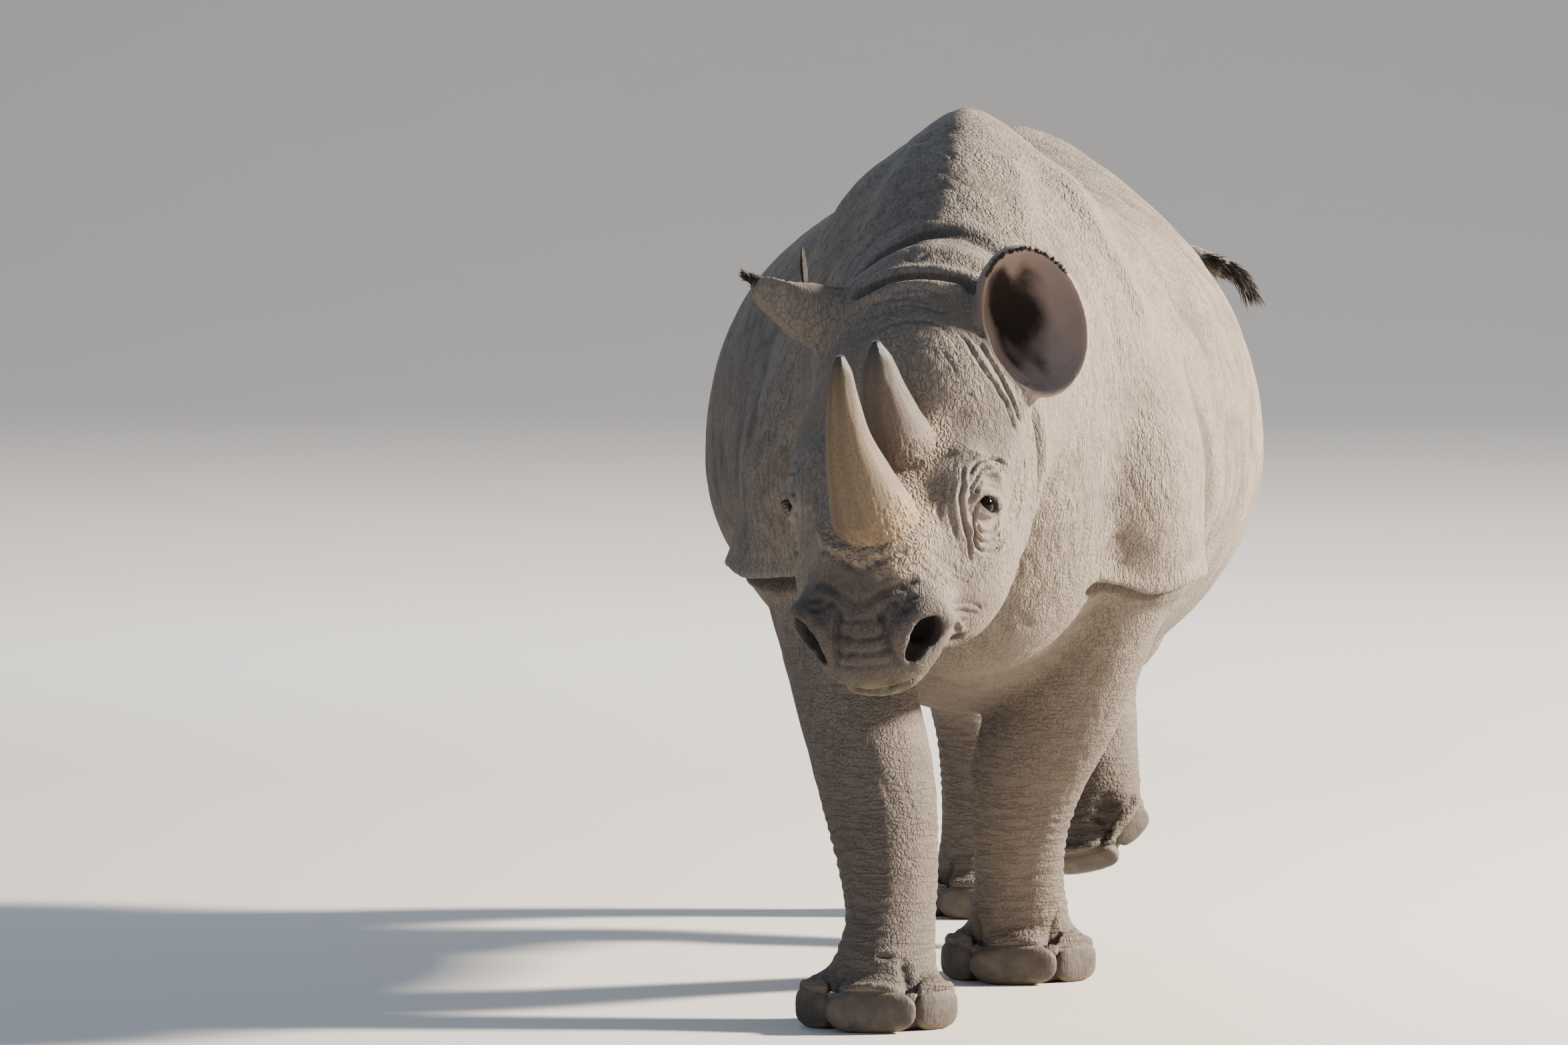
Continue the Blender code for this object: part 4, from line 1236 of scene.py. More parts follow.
# --- Skin -------------------------------------------------
@dataclass(frozen=True)
class FoldPattern:
    """Bands of hide parted by narrow valleys that run along one direction.

    Attributes:
        along: The direction that the valleys run in.
        spacing: How far apart they are.
        length: How long one is.
        depth: How deep one is.
        seed: Which pattern of its kind it is.
    """

    along: Point
    spacing: float
    length: float
    depth: float
    seed: int

    def relief(self, points: Array) -> Array:
        """Pads on a lattice that is stretched along the valleys and warped by slow noise."""
        axes = aimed((0, 0, 0), self.along, (0.31, 0.27, 0.91))
        slow = points / (2.5 * self.spacing)
        warp = np.stack([noise(slow, self.seed + shift) for shift in (11, 12, 13)], 1)
        local = axes.to_local(points) / np.array((self.spacing, self.spacing, self.length))
        return self.depth * pads(local + 0.45 * warp, self.seed)


@dataclass
class Skin:
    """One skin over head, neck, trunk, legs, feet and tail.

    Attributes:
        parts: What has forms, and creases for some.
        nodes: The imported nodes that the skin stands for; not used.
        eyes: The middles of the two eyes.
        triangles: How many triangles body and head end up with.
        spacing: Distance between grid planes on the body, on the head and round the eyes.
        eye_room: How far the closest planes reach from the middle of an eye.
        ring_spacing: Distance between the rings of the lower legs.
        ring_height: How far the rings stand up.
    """

    parts: list
    nodes: tuple[str, ...]
    eyes: Array
    triangles: tuple[int, int] = (112_000, 82_000)
    spacing: Point = (0.0085, 0.0042, 0.0022)
    quick_spacing: Point = (0.014, 0.007, 0.0035)
    eye_room: Point = (0.040, 0.042, 0.042)
    ring_spacing: float = 0.019
    ring_height: float = 0.0026

    def planes(self) -> tuple[Array, Array, Array]:
        """Grid planes: close together through the head, and closest through the eyes.

        Returns:
            The places of the planes along X, Y and Z.
        """
        coarse, fine, finest = self.spacing
        low, high = self.eyes.min(0) - self.eye_room, self.eyes.max(0) + self.eye_room
        wide = self.eye_room[0]
        return (
            graded(-0.60, 0.50, coarse, [(-0.35, 0.262, fine)]
                   + [(x - wide, x + wide, finest) for x in self.eyes[:, 0]]),
            graded(-1.53, 1.42, coarse, [(-1.53, -0.98, fine), (low[1], high[1], finest)]),
            graded(-0.03, 1.64, coarse, [(0.58, 1.40, fine), (low[2], high[2], finest)]),
        )

    @staticmethod
    def head_share(points: Array) -> Array:
        """1 on the head and 0 behind the crown."""
        forward = HEAD.to_local(points)[:, 0]
        return ramp(forward, 0.0, 0.06) * ramp(-points[:, 1], 0.93, 1.02) * ramp(points[:, 2], 0.40, 0.52)

    @staticmethod
    def leg_share(points: Array) -> Array:
        """1 on the legs below the belly, and 0 above."""
        return 1 - ramp(points[:, 2], 0.52, 0.66)

    def relief(self, points: Array, normals: Array) -> Array:
        """How far out each point of the smooth body goes: the listed creases, then patterns of folds
        that fade in and out over neck, shoulder, flank, face and legs.

        Args:
            points: Points of the smooth body.
            normals: Its normals there.

        Returns:
            A height for each point.
        """
        total = np.zeros(len(points))
        for part in self.parts:
            for crease in getattr(part, "creases", list)():
                near, rise = crease.relief(points, normals)
                total[near] += rise
        y, z = points[:, 1], points[:, 2]
        face, leg = self.head_share(points), self.leg_share(points)
        body = (1 - face) * (1 - leg)
        front = body * (1 - ramp(y, -0.55, -0.30))
        muzzle = face * ramp(HEAD.to_local(points)[:, 0], 0.50, 0.60)
        low_leg = leg * (1 - ramp(z, 0.22, 0.34))
        patterns = (
            (FoldPattern((0.45, 0.25, -0.86), 0.024, 0.110, 0.0024, 1), front),
            (FoldPattern((0.10, 0.30, 0.95), 0.050, 0.280, 0.0030, 2), body - front),
            (FoldPattern((0.90, 0.40, 0.10), 0.090, 0.250, 0.0014, 3), body),
            (FoldPattern((0.60, -0.20, 0.75), 0.018, 0.060, 0.0011, 4), face - muzzle),
            (FoldPattern((0.25, 0.95, 0.10), 0.016, 0.045, 0.0024, 5), muzzle),
            (FoldPattern((0.35, 0.10, -0.92), 0.021, 0.080, 0.0022, 6), leg - low_leg),
        )
        for pattern, share in patterns:
            near = np.flatnonzero(share > 0.01)
            total[near] += share[near] * pattern.relief(points[near])
        wander = 0.5 * noise(points / 0.06, 21)
        rings = np.sin(2 * math.pi * (z / self.ring_spacing + wander))
        rings = rings * (0.5 + 0.5 * noise(points / 0.05, 22))
        low, high = ramp(z, 0.09, 0.13), ramp(z, 0.30, 0.42)
        total += self.ring_height * ramp(leg, 0.3, 1) * rings * low * (1 - high)
        return total

    def build(self) -> bpy.types.Object:
        """The surface of the joined forms, moved by its relief, then thinned."""
        forms = [form for part in self.parts for form in part.forms()]
        forms.append(Ground(blend=0.006, cuts=True))
        grid = FieldGrid(self.planes())
        points, quads = grid.surface(grid.sample(forms))
        LOG.info("skin grid: %d points", len(points))
        normals = vertex_normals(points, quads)
        rise = self.relief(points, normals)
        points = points + normals * rise[:, None]
        thing = new_object("skin", points, quads)
        # the relief's height; the hide darkens deep creases with painted shade from it
        mark(thing, "fold", rise)
        self.thin(thing, points)
        return thing

    def thin(self, thing: bpy.types.Object, points: Array) -> None:
        """Takes triangles away where the surface is plain: first from the body, then the head.

        Args:
            thing: The skin.
            points: Its vertices, in the plan of the body.
        """
        on_head = self.head_share(points) > 0.5
        faces = np.empty(4 * len(thing.data.polygons), np.int32)
        thing.data.polygons.foreach_get("vertices", faces)
        head_triangles = 2 * int(on_head[faces[::4]].sum())
        total = faces.size // 2
        kept = head_triangles + self.triangles[0]
        for name, untouched, ratio in (("body", on_head, kept / total),
                                       ("head", ~on_head, sum(self.triangles) / kept)):
            group = thing.vertex_groups.new(name=name)
            group.add(np.flatnonzero(~untouched).tolist(), 1.0, "REPLACE")
            modifier = thing.modifiers.new("Thin " + name, "DECIMATE")
            modifier.ratio = min(1.0, ratio)
            modifier.vertex_group = name
            modifier.vertex_group_factor = 0.0
        graph = bpy.context.evaluated_depsgraph_get()
        mesh = bpy.data.meshes.new_from_object(thing.evaluated_get(graph))
        thing.modifiers.clear()
        thing.vertex_groups.clear()
        thick = thing.data
        thing.data = mesh
        bpy.data.meshes.remove(thick)
        mesh.name = thing.name
        mesh.shade_smooth()


# --- Horns, eyes, nails -----------------------------------
@dataclass
class Horn:
    """A fibrous cone on the midline of the face, carried along its curved path.

    Attributes:
        name: The name of the piece.
        stations: Places along the path: forward along the face, left, out of the forehead, radius.
        flare: How far the foot spreads to the animal's left, right, front and back.
        roughness: Height of the crumbly relief at the foot.
    """

    name: str
    stations: tuple[Row, ...]
    flare: Row
    roughness: float
    rows: int = 170
    columns: int = 220

    def surface(self) -> tuple[Array, Array, Array]:
        """Points, the share of the way up, and the angle round: the radius plus a flare at
        the foot, with fibres, growth rings and a crumbly foot as relief.

        Returns:
            Points in the head's axes, the share of the way up, and the angle round.
        """
        path = smooth_curve(self.stations, self.rows)
        centres = path[:, :3]
        along = unit(np.gradient(centres, axis=0))
        left = np.array((0.0, 1.0, 0.0))
        deep = np.cross(along, left)
        up, angle = np.meshgrid(np.linspace(0, 1, self.rows),
                                np.linspace(0, 2 * math.pi, self.columns, endpoint=False), indexing="ij")
        cosine, sine = np.cos(angle), np.sin(angle)
        to_left, to_right, to_front, to_back = self.flare
        spread = np.where(cosine > 0, to_left, to_right) * cosine**2
        spread = spread + np.where(sine > 0, to_front, to_back) * sine**2
        radius = path[:, 3][:, None] + spread * np.exp(-((up / 0.24) ** 2))
        lattice = np.stack([cosine, sine, up], -1).reshape(-1, 3)
        wander = 0.06 * noise(lattice * (2, 2, 4), 30)
        lattice = lattice + wander[:, None]
        fibres = noise(lattice * (9, 9, 7), 31) + 0.6 * noise(lattice * (17, 17, 15), 32)
        lumps = noise(lattice * (2.5, 2.5, 9), 33)
        crumbs = pads(lattice * (7, 7, 34), 34, 2.0) + pads(lattice * (14, 14, 70), 35, 2.0)
        low = np.exp(-((up / 0.26) ** 2)).ravel()
        slim = (1 - 0.75 * up).ravel()
        side = (0.35 + 0.65 * np.clip(0.5 + cosine, 0, 1)).ravel()
        rise = 0.0002 * fibres * slim + 0.0016 * lumps * slim + self.roughness * crumbs * low * side
        radius = (radius.ravel() + rise).reshape(radius.shape) * ramp(up, 1.0, 0.985) ** 0.5
        offset = radius[..., None] * (cosine[..., None] * left + sine[..., None] * deep[:, None])
        points = (centres[:, None] + offset).reshape(-1, 3)
        return points, up.ravel(), angle.ravel()

    def build(self) -> bpy.types.Object:
        """The horn, closed at both ends."""
        points, up, angle = self.surface()
        faces = sheet_faces(self.rows, self.columns)
        thing = new_object(self.name, HEAD.to_plan(points), faces)
        mark(thing, "up", up)
        mark(thing, "left_side", np.cos(angle))
        mark(thing, "front_side", np.sin(angle))
        close_ends(thing, self.columns)
        return thing


def ball_grid(rows: int, columns: int, gap: float) -> tuple[Array, Array]:
    """A grid of points over a ball.

    Args:
        rows: How many rows there are from the top to the bottom.
        columns: How many points there are in a row.
        gap: The angle between the Z axis and the first row, and the last.

    Returns:
        Points of length 1, and the angle of each from the Z axis.
    """
    down, around = np.meshgrid(np.linspace(gap, math.pi - gap, rows),
                               np.linspace(0, 2 * math.pi, columns, endpoint=False), indexing="ij")
    points = np.stack([np.sin(down) * np.cos(around), np.sin(down) * np.sin(around), np.cos(down)], -1)
    return points.reshape(-1, 3), down.ravel()


def close_ends(thing: bpy.types.Object, columns: int) -> None:
    """Fills the first and the last row of a closed grid, each with one face.

    Args:
        thing: An object whose vertices lie in rows.
        columns: How many there are in a row.
    """
    shape = bmesh.new()
    shape.from_mesh(thing.data)
    shape.verts.ensure_lookup_table()
    count = len(shape.verts)
    shape.faces.new([shape.verts[n] for n in reversed(range(columns))])
    shape.faces.new([shape.verts[n] for n in range(count - columns, count)])
    bmesh.ops.recalc_face_normals(shape, faces=shape.faces)
    shape.to_mesh(thing.data)
    shape.free()
    thing.data.shade_smooth()


@dataclass
class Eye:
    """An eyeball whose cornea stands a little proud of it.

    Attributes:
        name: The name of the piece.
        centre: Its middle, in the plan of the body.
        gaze: The direction that it looks in.
        radius: Its size.
    """

    name: str
    centre: Array
    gaze: Array
    radius: float = 0.024
    rows: int = 48
    columns: int = 64

    def build(self) -> bpy.types.Object:
        """A sphere round the gaze, r = radius (1 + 0.07 exp(-(angle / 0.55)^2))."""
        axes = aimed(tuple(self.centre), tuple(self.gaze), (0, 0, 1))
        ball, angle = ball_grid(self.rows, self.columns, 0.002)
        radius = self.radius * (1 + 0.07 * np.exp(-((angle / 0.55) ** 2)))
        thing = new_object(self.name, axes.to_plan(ball * radius[:, None]),
                           sheet_faces(self.rows, self.columns))
        mark(thing, "angle", angle)
        close_ends(thing, self.columns)
        return thing


@dataclass
class Nail:
    """One hoof-like nail: a horny shell over the front of a toe.

    Attributes:
        name: The name of the piece.
        node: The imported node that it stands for.
        axes: The axes of the foot.
        centre: Its middle.
        radii: Half its width, thickness and height.
        turn: How far it faces sideways, in degrees.
        floor: The height that it must not go below.
    """

    name: str
    node: str
    axes: Axes
    centre: Point
    radii: Point
    turn: float
    floor: float
    rows: int = 60
    columns: int = 96

    def build(self) -> bpy.types.Object:
        """An ellipsoid flattened against the ground, with growth ridges and a worn lower edge."""
        ball, tilt = ball_grid(self.rows, self.columns, 0.003)
        square = np.sign(ball) * np.abs(ball) ** (0.80, 0.66, 0.74)
        ridges = 0.6 * np.sin(30 * ball[:, 2] + 2.5 * noise(ball * 2.5, 41)) * np.sin(tilt)
        chips = pads(ball * 7.0, 42, 2.0) * ramp(-ball[:, 2], 0.3, 0.85)
        rise = 1 + 0.004 * ridges + 0.030 * chips + 0.022 * noise(ball * 2.2, 43)
        local = square * rise[:, None] * self.radii @ turned(self.turn, "Z").T + self.centre
        points = self.axes.to_plan(local)
        points[:, 2] = np.maximum(points[:, 2], self.floor)
        thing = new_object(self.name, points, sheet_faces(self.rows, self.columns))
        mark(thing, "up", 0.5 + 0.5 * ball[:, 2])
        close_ends(thing, self.columns)
        return thing


def nails_of(foot: Foot) -> list[Nail]:
    """The three nails of a foot. Those of a foot on the ground are cut off just above it."""
    floor = 0.0005 if foot.droop == 0 else -FAR
    made = []
    for toe, across, along, turn, wide in (("inner", -0.80, -0.44, -46, 0.38),
                                           ("middle", 0.0, -1.00, 0, 0.62),
                                           ("outer", 0.80, -0.44, 46, 0.38)):
        name = f"{foot.name}_{toe}"
        made.append(Nail("hoof_" + name, "nail_" + name, foot.axes(), foot.scaled((across, along, 0.29)),
                         foot.scaled((wide, 0.17, 0.30)), turn, floor))
    return made


# --- Hair -------------------------------------------------
@dataclass
class Bristles:
    """Tapered bristles, each a bent blade with three sides.

    Attributes:
        name: The name of the piece.
        roots: Where each one starts, in the plan of the body.
        ways: The direction and length of each.
        places: Where each root lies on an unwrap of the skin round it, from 0 to 1 each way.
        width: Thickness at the root.
        sag: How far the tip is pulled down, as a share of the length.
    """

    name: str
    roots: Array
    ways: Array
    places: Array
    width: float
    sag: float = 0.15
    rings: int = 5
    sides: int = 3
    patch: float = 0.003

    def build(self) -> bpy.types.Object:
        """Rings round the axis root + way t - sag length t^2 down, of radius width (1.04 - t^2) / 2."""
        count = len(self.roots)
        t = np.linspace(0, 1, self.rings)
        length = np.linalg.norm(self.ways, axis=1)
        axis = self.roots[:, None] + self.ways[:, None] * t[:, None]
        axis[..., 2] -= self.sag * length[:, None] * t**2
        along = self.ways / length[:, None]
        across = unit(np.cross(along, (0.31, 0.52, 0.80)))
        deep = np.cross(along, across)
        angle = 2 * math.pi * np.arange(self.sides) / self.sides
        spoke = np.cos(angle)[:, None] * across[:, None] + np.sin(angle)[:, None] * deep[:, None]
        radius = 0.5 * self.width * (1.04 - t**2)
        points = axis[:, :, None] + radius[:, None, None] * spoke[:, None]
        side = np.arange(self.sides)
        after = (side + 1) % self.sides
        ring = self.sides * np.arange(self.rings - 1)[:, None]
        first = np.stack([ring + side, ring + after, ring + after + self.sides], -1).reshape(-1, 3)
        second = np.stack([ring + side, ring + after + self.sides, ring + side + self.sides], -1)
        last = self.sides * (self.rings - 1)
        caps = np.array([(0, 2, 1), (last, last + 1, last + 2)])
        one = np.vstack([first, second.reshape(-1, 3), caps])
        faces = (one + self.rings * self.sides * np.arange(count)[:, None, None]).reshape(-1, 3)
        thing = new_object(self.name, points.reshape(-1, 3), faces)
        mark(thing, "along", np.tile(np.repeat(t, self.sides), count))
        spread = np.stack(np.broadcast_arrays(side / self.sides - 0.5, t[:, None] - 0.5), -1)
        unwrap = self.places[:, None, None] + self.patch * spread
        layer = thing.data.uv_layers.new(name="OFBake")
        layer.data.foreach_set("uv", unwrap.reshape(-1, 2)[faces.ravel()].astype(np.float32).ravel())
        return thing


def nearest(points: Array, wanted: Array) -> Array:
    """For each wanted place, the nearest of the points near all of them.

    Args:
        points: Points of a surface.
        wanted: Places close to it.

    Returns:
        One of the points for each place.
    """
    low, high = wanted.min(0) - 0.03, wanted.max(0) + 0.03
    near = points[((points > low) & (points < high)).all(1)]
    square = ((wanted[:, None] - near[None]) ** 2).sum(-1)
    return near[square.argmin(1)]


@dataclass
class Hair:
    """Fringes of the ears, lashes and the tuft of the tail."""

    ears: tuple[Ear, ...]
    lids: Lids
    skin: Array

    def fringe(self) -> Bristles:
        """Short bristles along the upper rim of the left ear."""
        rng = np.random.default_rng(5)
        ear = self.ears[0]
        count = 2300
        angle = np.radians(rng.uniform(30, 128, count))
        roots = nearest(self.skin, ear.rim(angle))
        roots = roots + rng.normal(0, 0.0012, roots.shape)
        local = np.stack([np.cos(angle) / ear.half_width, np.sin(angle) / ear.half_length,
                          2.0 + 0 * angle], 1)
        out = unit(local @ ear.axes().columns.T)
        out = out + rng.normal(0, 0.34, out.shape)
        length = rng.uniform(0.003, 0.0085, count) * (0.4 + 0.6 * np.sin(angle))
        places = np.stack([angle / (2 * math.pi), rng.uniform(0.2, 0.8, count)], 1)
        return Bristles("ear_fringe_left", roots, out * length[:, None], places, 0.0005, 0.05)

    def tip_tuft(self) -> Bristles:
        """The tuft on the point of the right ear, and short bristles behind it."""
        rng = np.random.default_rng(6)
        count = 340
        share = rng.uniform(0, 1, count)
        start, end = np.array((-0.300, -1.050, 1.300)), np.array((-0.348, -1.052, 1.309))
        wanted = start + share[:, None] * (end - start)
        wanted = wanted + rng.normal(0, 0.007, wanted.shape)
        roots = nearest(self.skin, wanted)
        sideways, upward = rng.normal(0, 0.25, count), rng.normal(0.55, 0.35, count)
        out = unit(np.stack([-0.35 - 0.85 * share, sideways, upward], 1))
        length = rng.uniform(0.006, 0.011, count) * (0.7 + share)
        places = np.stack([share, rng.uniform(0.2, 0.8, count)], 1)
        return Bristles("ear_tuft_right", roots, out * length[:, None], places, 0.0013, 0.05)

    def lashes(self) -> Bristles:
        """Lashes that hang over both eyes from the edges of the upper lids."""
        rng = np.random.default_rng(7)
        count = 70
        share = rng.uniform(0, 1, count)
        bend = np.sin(math.pi * share)
        across = -0.022 + 0.042 * share
        local = np.stack([across, -0.001 + 0.013 * bend - 0.36 * across, 0.012 + 0.010 * bend], 1)
        way = np.stack([0.5 * (share - 0.5), -0.55 + 0.1 * bend, 0.75 + 0 * bend], 1)
        way = way + rng.normal(0, 0.12, way.shape)
        way *= (rng.uniform(0.006, 0.010, count) / np.linalg.norm(way, axis=1))[:, None]
        axes = self.lids.axes()
        roots = axes.to_plan(local)
        ways = axes.to_plan(local + way) - roots
        roots = nearest(self.skin, roots)
        places = np.stack([np.tile(share, 2), np.repeat((0.25, 0.75), count)], 1)
        return Bristles("lashes", roots, ways, places, 0.0010, 0.1)

    def tail_tuft(self) -> Bristles:
        """Bristles along the outer side of the end of the tail, and a tuft beyond it."""
        rng = np.random.default_rng(8)
        count = 620
        path = smooth_curve(((0.300, 1.302, 1.268, 0.020), (0.338, 1.284, 1.256, 0.017),
                             (0.372, 1.271, 1.236, 0.015), (0.392, 1.264, 1.208, 0.012)), 60)
        step = rng.integers(0, 60, count)
        run = unit(np.gradient(path[:, :3], axis=0)[step])
        angle = rng.normal(0.9, 0.9, count)
        above = np.stack([run[:, 2] * -1, np.zeros(count), run[:, 0]], 1)
        behind = np.cross(run, above)
        off = np.cos(angle)[:, None] * above + np.sin(angle)[:, None] * behind
        roots = path[step, :3] + off * (path[step, 3] * rng.uniform(0.35, 0.95, count))[:, None]
        way = run + 0.28 * off + rng.normal(0, 0.10, off.shape)
        way *= (rng.uniform(0.022, 0.040, count) / np.linalg.norm(way, axis=1))[:, None]
        places = np.stack([step / 60, (angle / (2 * math.pi)) % 1], 1)
        return Bristles("tail_strands", roots, way, places, 0.0022, 0.30)


# --- Finishes ---------------------------------------------
Colour = tuple[float, float, float]
Socket = bpy.types.NodeSocket


class Cell(Enum):
    """What a cell pattern gives at a point."""

    NEAREST = "F1"
    EDGE = "DISTANCE_TO_EDGE"


@dataclass
class Graph:
    """A material under construction. A value is a number, a colour or another node's socket."""

    name: str
    material: bpy.types.Material = field(init=False)

    def __post_init__(self) -> None:
        """Starts the material with only its shader."""
        self.material = bpy.data.materials.new(self.name)
        self.material.use_nodes = True
        self.tree = self.material.node_tree
        self.shader = self.tree.nodes["Principled BSDF"]

    def node(self, kind: str, inputs: dict, **settings: object) -> bpy.types.Node:
        """A node with settings, whose inputs are set or linked by name or number.

        Args:
            kind: Its type.
            inputs: Values or sockets, by name or number.
            settings: Its other properties.

        Returns:
            The node.
        """
        made = self.tree.nodes.new(kind)
        for name, value in settings.items():
            setattr(made, name, value)
        for name, value in inputs.items():
            self.put(made.inputs[name], value)
        return made

    def put(self, socket: Socket, value: object) -> None:
        """Sets an input, or links it to a socket."""
        if isinstance(value, bpy.types.NodeSocket):
            self.tree.links.new(value, socket)
        elif isinstance(value, tuple) and len(value) == 3 and socket.type == "RGBA":
            socket.default_value = (*value, 1.0)
        else:
            socket.default_value = value

    def place(self) -> Socket:
        """Where a point is on the object, in metres."""
        return self.node("ShaderNodeTexCoord", {}).outputs["Object"]

    def mark(self, name: str) -> Socket:
        """A number stored in the mesh."""
        return self.node("ShaderNodeAttribute", {}, attribute_name=name).outputs["Fac"]

    def math(self, operation: str, first: object, second: object = 0.0) -> Socket:
        """One step of arithmetic."""
        made = self.node("ShaderNodeMath", {0: first, 1: second}, operation=operation)
        return made.outputs[0]

    def sum(self, *values: object) -> Socket:
        """All the values added up."""
        return reduce(lambda total, value: self.math("ADD", total, value), values)

    def times(self, *values: object) -> Socket:
        """All the values multiplied."""
        return reduce(lambda total, value: self.math("MULTIPLY", total, value), values)

    def less(self, value: object) -> Socket:
        """What is left of 1."""
        return self.math("SUBTRACT", 1.0, value)

    def vector(self, operation: str, first: object, second: object) -> Socket:
        """One step of arithmetic on vectors."""
        made = self.node("ShaderNodeVectorMath", {0: first, 1: second}, operation=operation)
        return made.outputs[0]

    def stretched(self, place: Socket, turn: Point, scale: Point) -> Socket:
        """Coordinates turned in degrees, then scaled: patterns come out long where scale is low.

        Args:
            place: The coordinates.
            turn: Degrees about X, Y and Z.
            scale: Cells to the metre along X, Y and Z.

        Returns:
            The new coordinates.
        """
        angles = tuple(math.radians(angle) for angle in turn)
        made = self.node("ShaderNodeMapping", {"Vector": place, "Rotation": angles, "Scale": scale})
        return made.outputs[0]

    def noise(self, place: Socket, scale: float, detail: float = 3.0, rough: float = 0.55) -> Socket:
        """Cloudy noise from 0 to 1."""
        inputs = {"Vector": place, "Scale": scale, "Detail": detail, "Roughness": rough}
        return self.node("ShaderNodeTexNoise", inputs).outputs["Fac"]

    def warped(self, place: Socket, scale: float, amount: float) -> Socket:
        """Coordinates pushed about by slow noise, up to half the amount each way.

        Args:
            place: The coordinates.
            scale: Cells of the noise to the metre.
            amount: How far they are pushed.

        Returns:
            The new coordinates.
        """
        made = self.node("ShaderNodeTexNoise", {"Vector": place, "Scale": scale, "Detail": 2.0})
        shift = self.vector("SUBTRACT", made.outputs["Color"], (0.5, 0.5, 0.5))
        return self.vector("ADD", place, self.vector("MULTIPLY", shift, (amount,) * 3))

    def cells(self, place: Socket, scale: float, what: Cell = Cell.EDGE) -> Socket:
        """Distance to the nearest border, or nearest middle, of a pattern of cells."""
        made = self.node("ShaderNodeTexVoronoi", {"Vector": place, "Scale": scale}, feature=what.value)
        return made.outputs["Distance"]

    def remap(self, value: Socket, low: float, high: float, start: float = 0.0,
              end: float = 1.0) -> Socket:
        """Start below low, end above high, and an easy ramp between.

        Args:
            value: The number.
            low: Where the ramp starts.
            high: Where it ends.
            start: What it gives at low.
            end: What it gives at high.

        Returns:
            The new number.
        """
        inputs = {"Value": value, "From Min": low, "From Max": high, "To Min": start, "To Max": end}
        made = self.node("ShaderNodeMapRange", inputs, interpolation_type="SMOOTHSTEP")
        return made.outputs["Result"]

    def over(self, kind: str, inputs: dict, output: int) -> Socket:
        """One value over another of the same kind."""
        made = self.node("ShaderNodeMix", {}, data_type=kind)
        for number, value in inputs.items():
            self.put(made.inputs[number], value)
        return made.outputs[output]

    def mix(self, share: object, first: object, second: object) -> Socket:
        """One colour over another."""
        return self.over("RGBA", {0: share, 6: first, 7: second}, 2)

    def layers(self, colour: object, *over: tuple[object, object]) -> Socket:
        """A colour with others laid over it one after another, each given after its share.

        Args:
            colour: The lowest colour.
            over: The share and the colour of each layer.

        Returns:
            The colour of all together.
        """
        for share, upper in over:
            colour = self.mix(share, colour, upper)
        return colour

    def blend(self, share: object, first: object, second: object) -> Socket:
        """One number turning into another."""
        return self.over("FLOAT", {0: share, 2: first, 3: second}, 0)

    def finish(self, colour: object, rough: object, height: Optional[Socket] = None,
               **shader: object) -> bpy.types.Material:
        """Links the shader and returns the material. Height is in metres.

        Args:
            colour: The base colour.
            rough: The roughness.
            height: The relief, in metres.
            shader: Other inputs of the shader, with _ for a space.

        Returns:
            The material.
        """
        self.put(self.shader.inputs["Base Color"], colour)
        self.put(self.shader.inputs["Roughness"], rough)
        for name, value in shader.items():
            self.put(self.shader.inputs[name.replace("_", " ")], value)
        if height is not None:
            bump = self.node("ShaderNodeBump", {"Height": height, "Distance": 1.0, "Strength": 1.0})
            self.put(self.shader.inputs["Normal"], bump.outputs["Normal"])
        return self.material


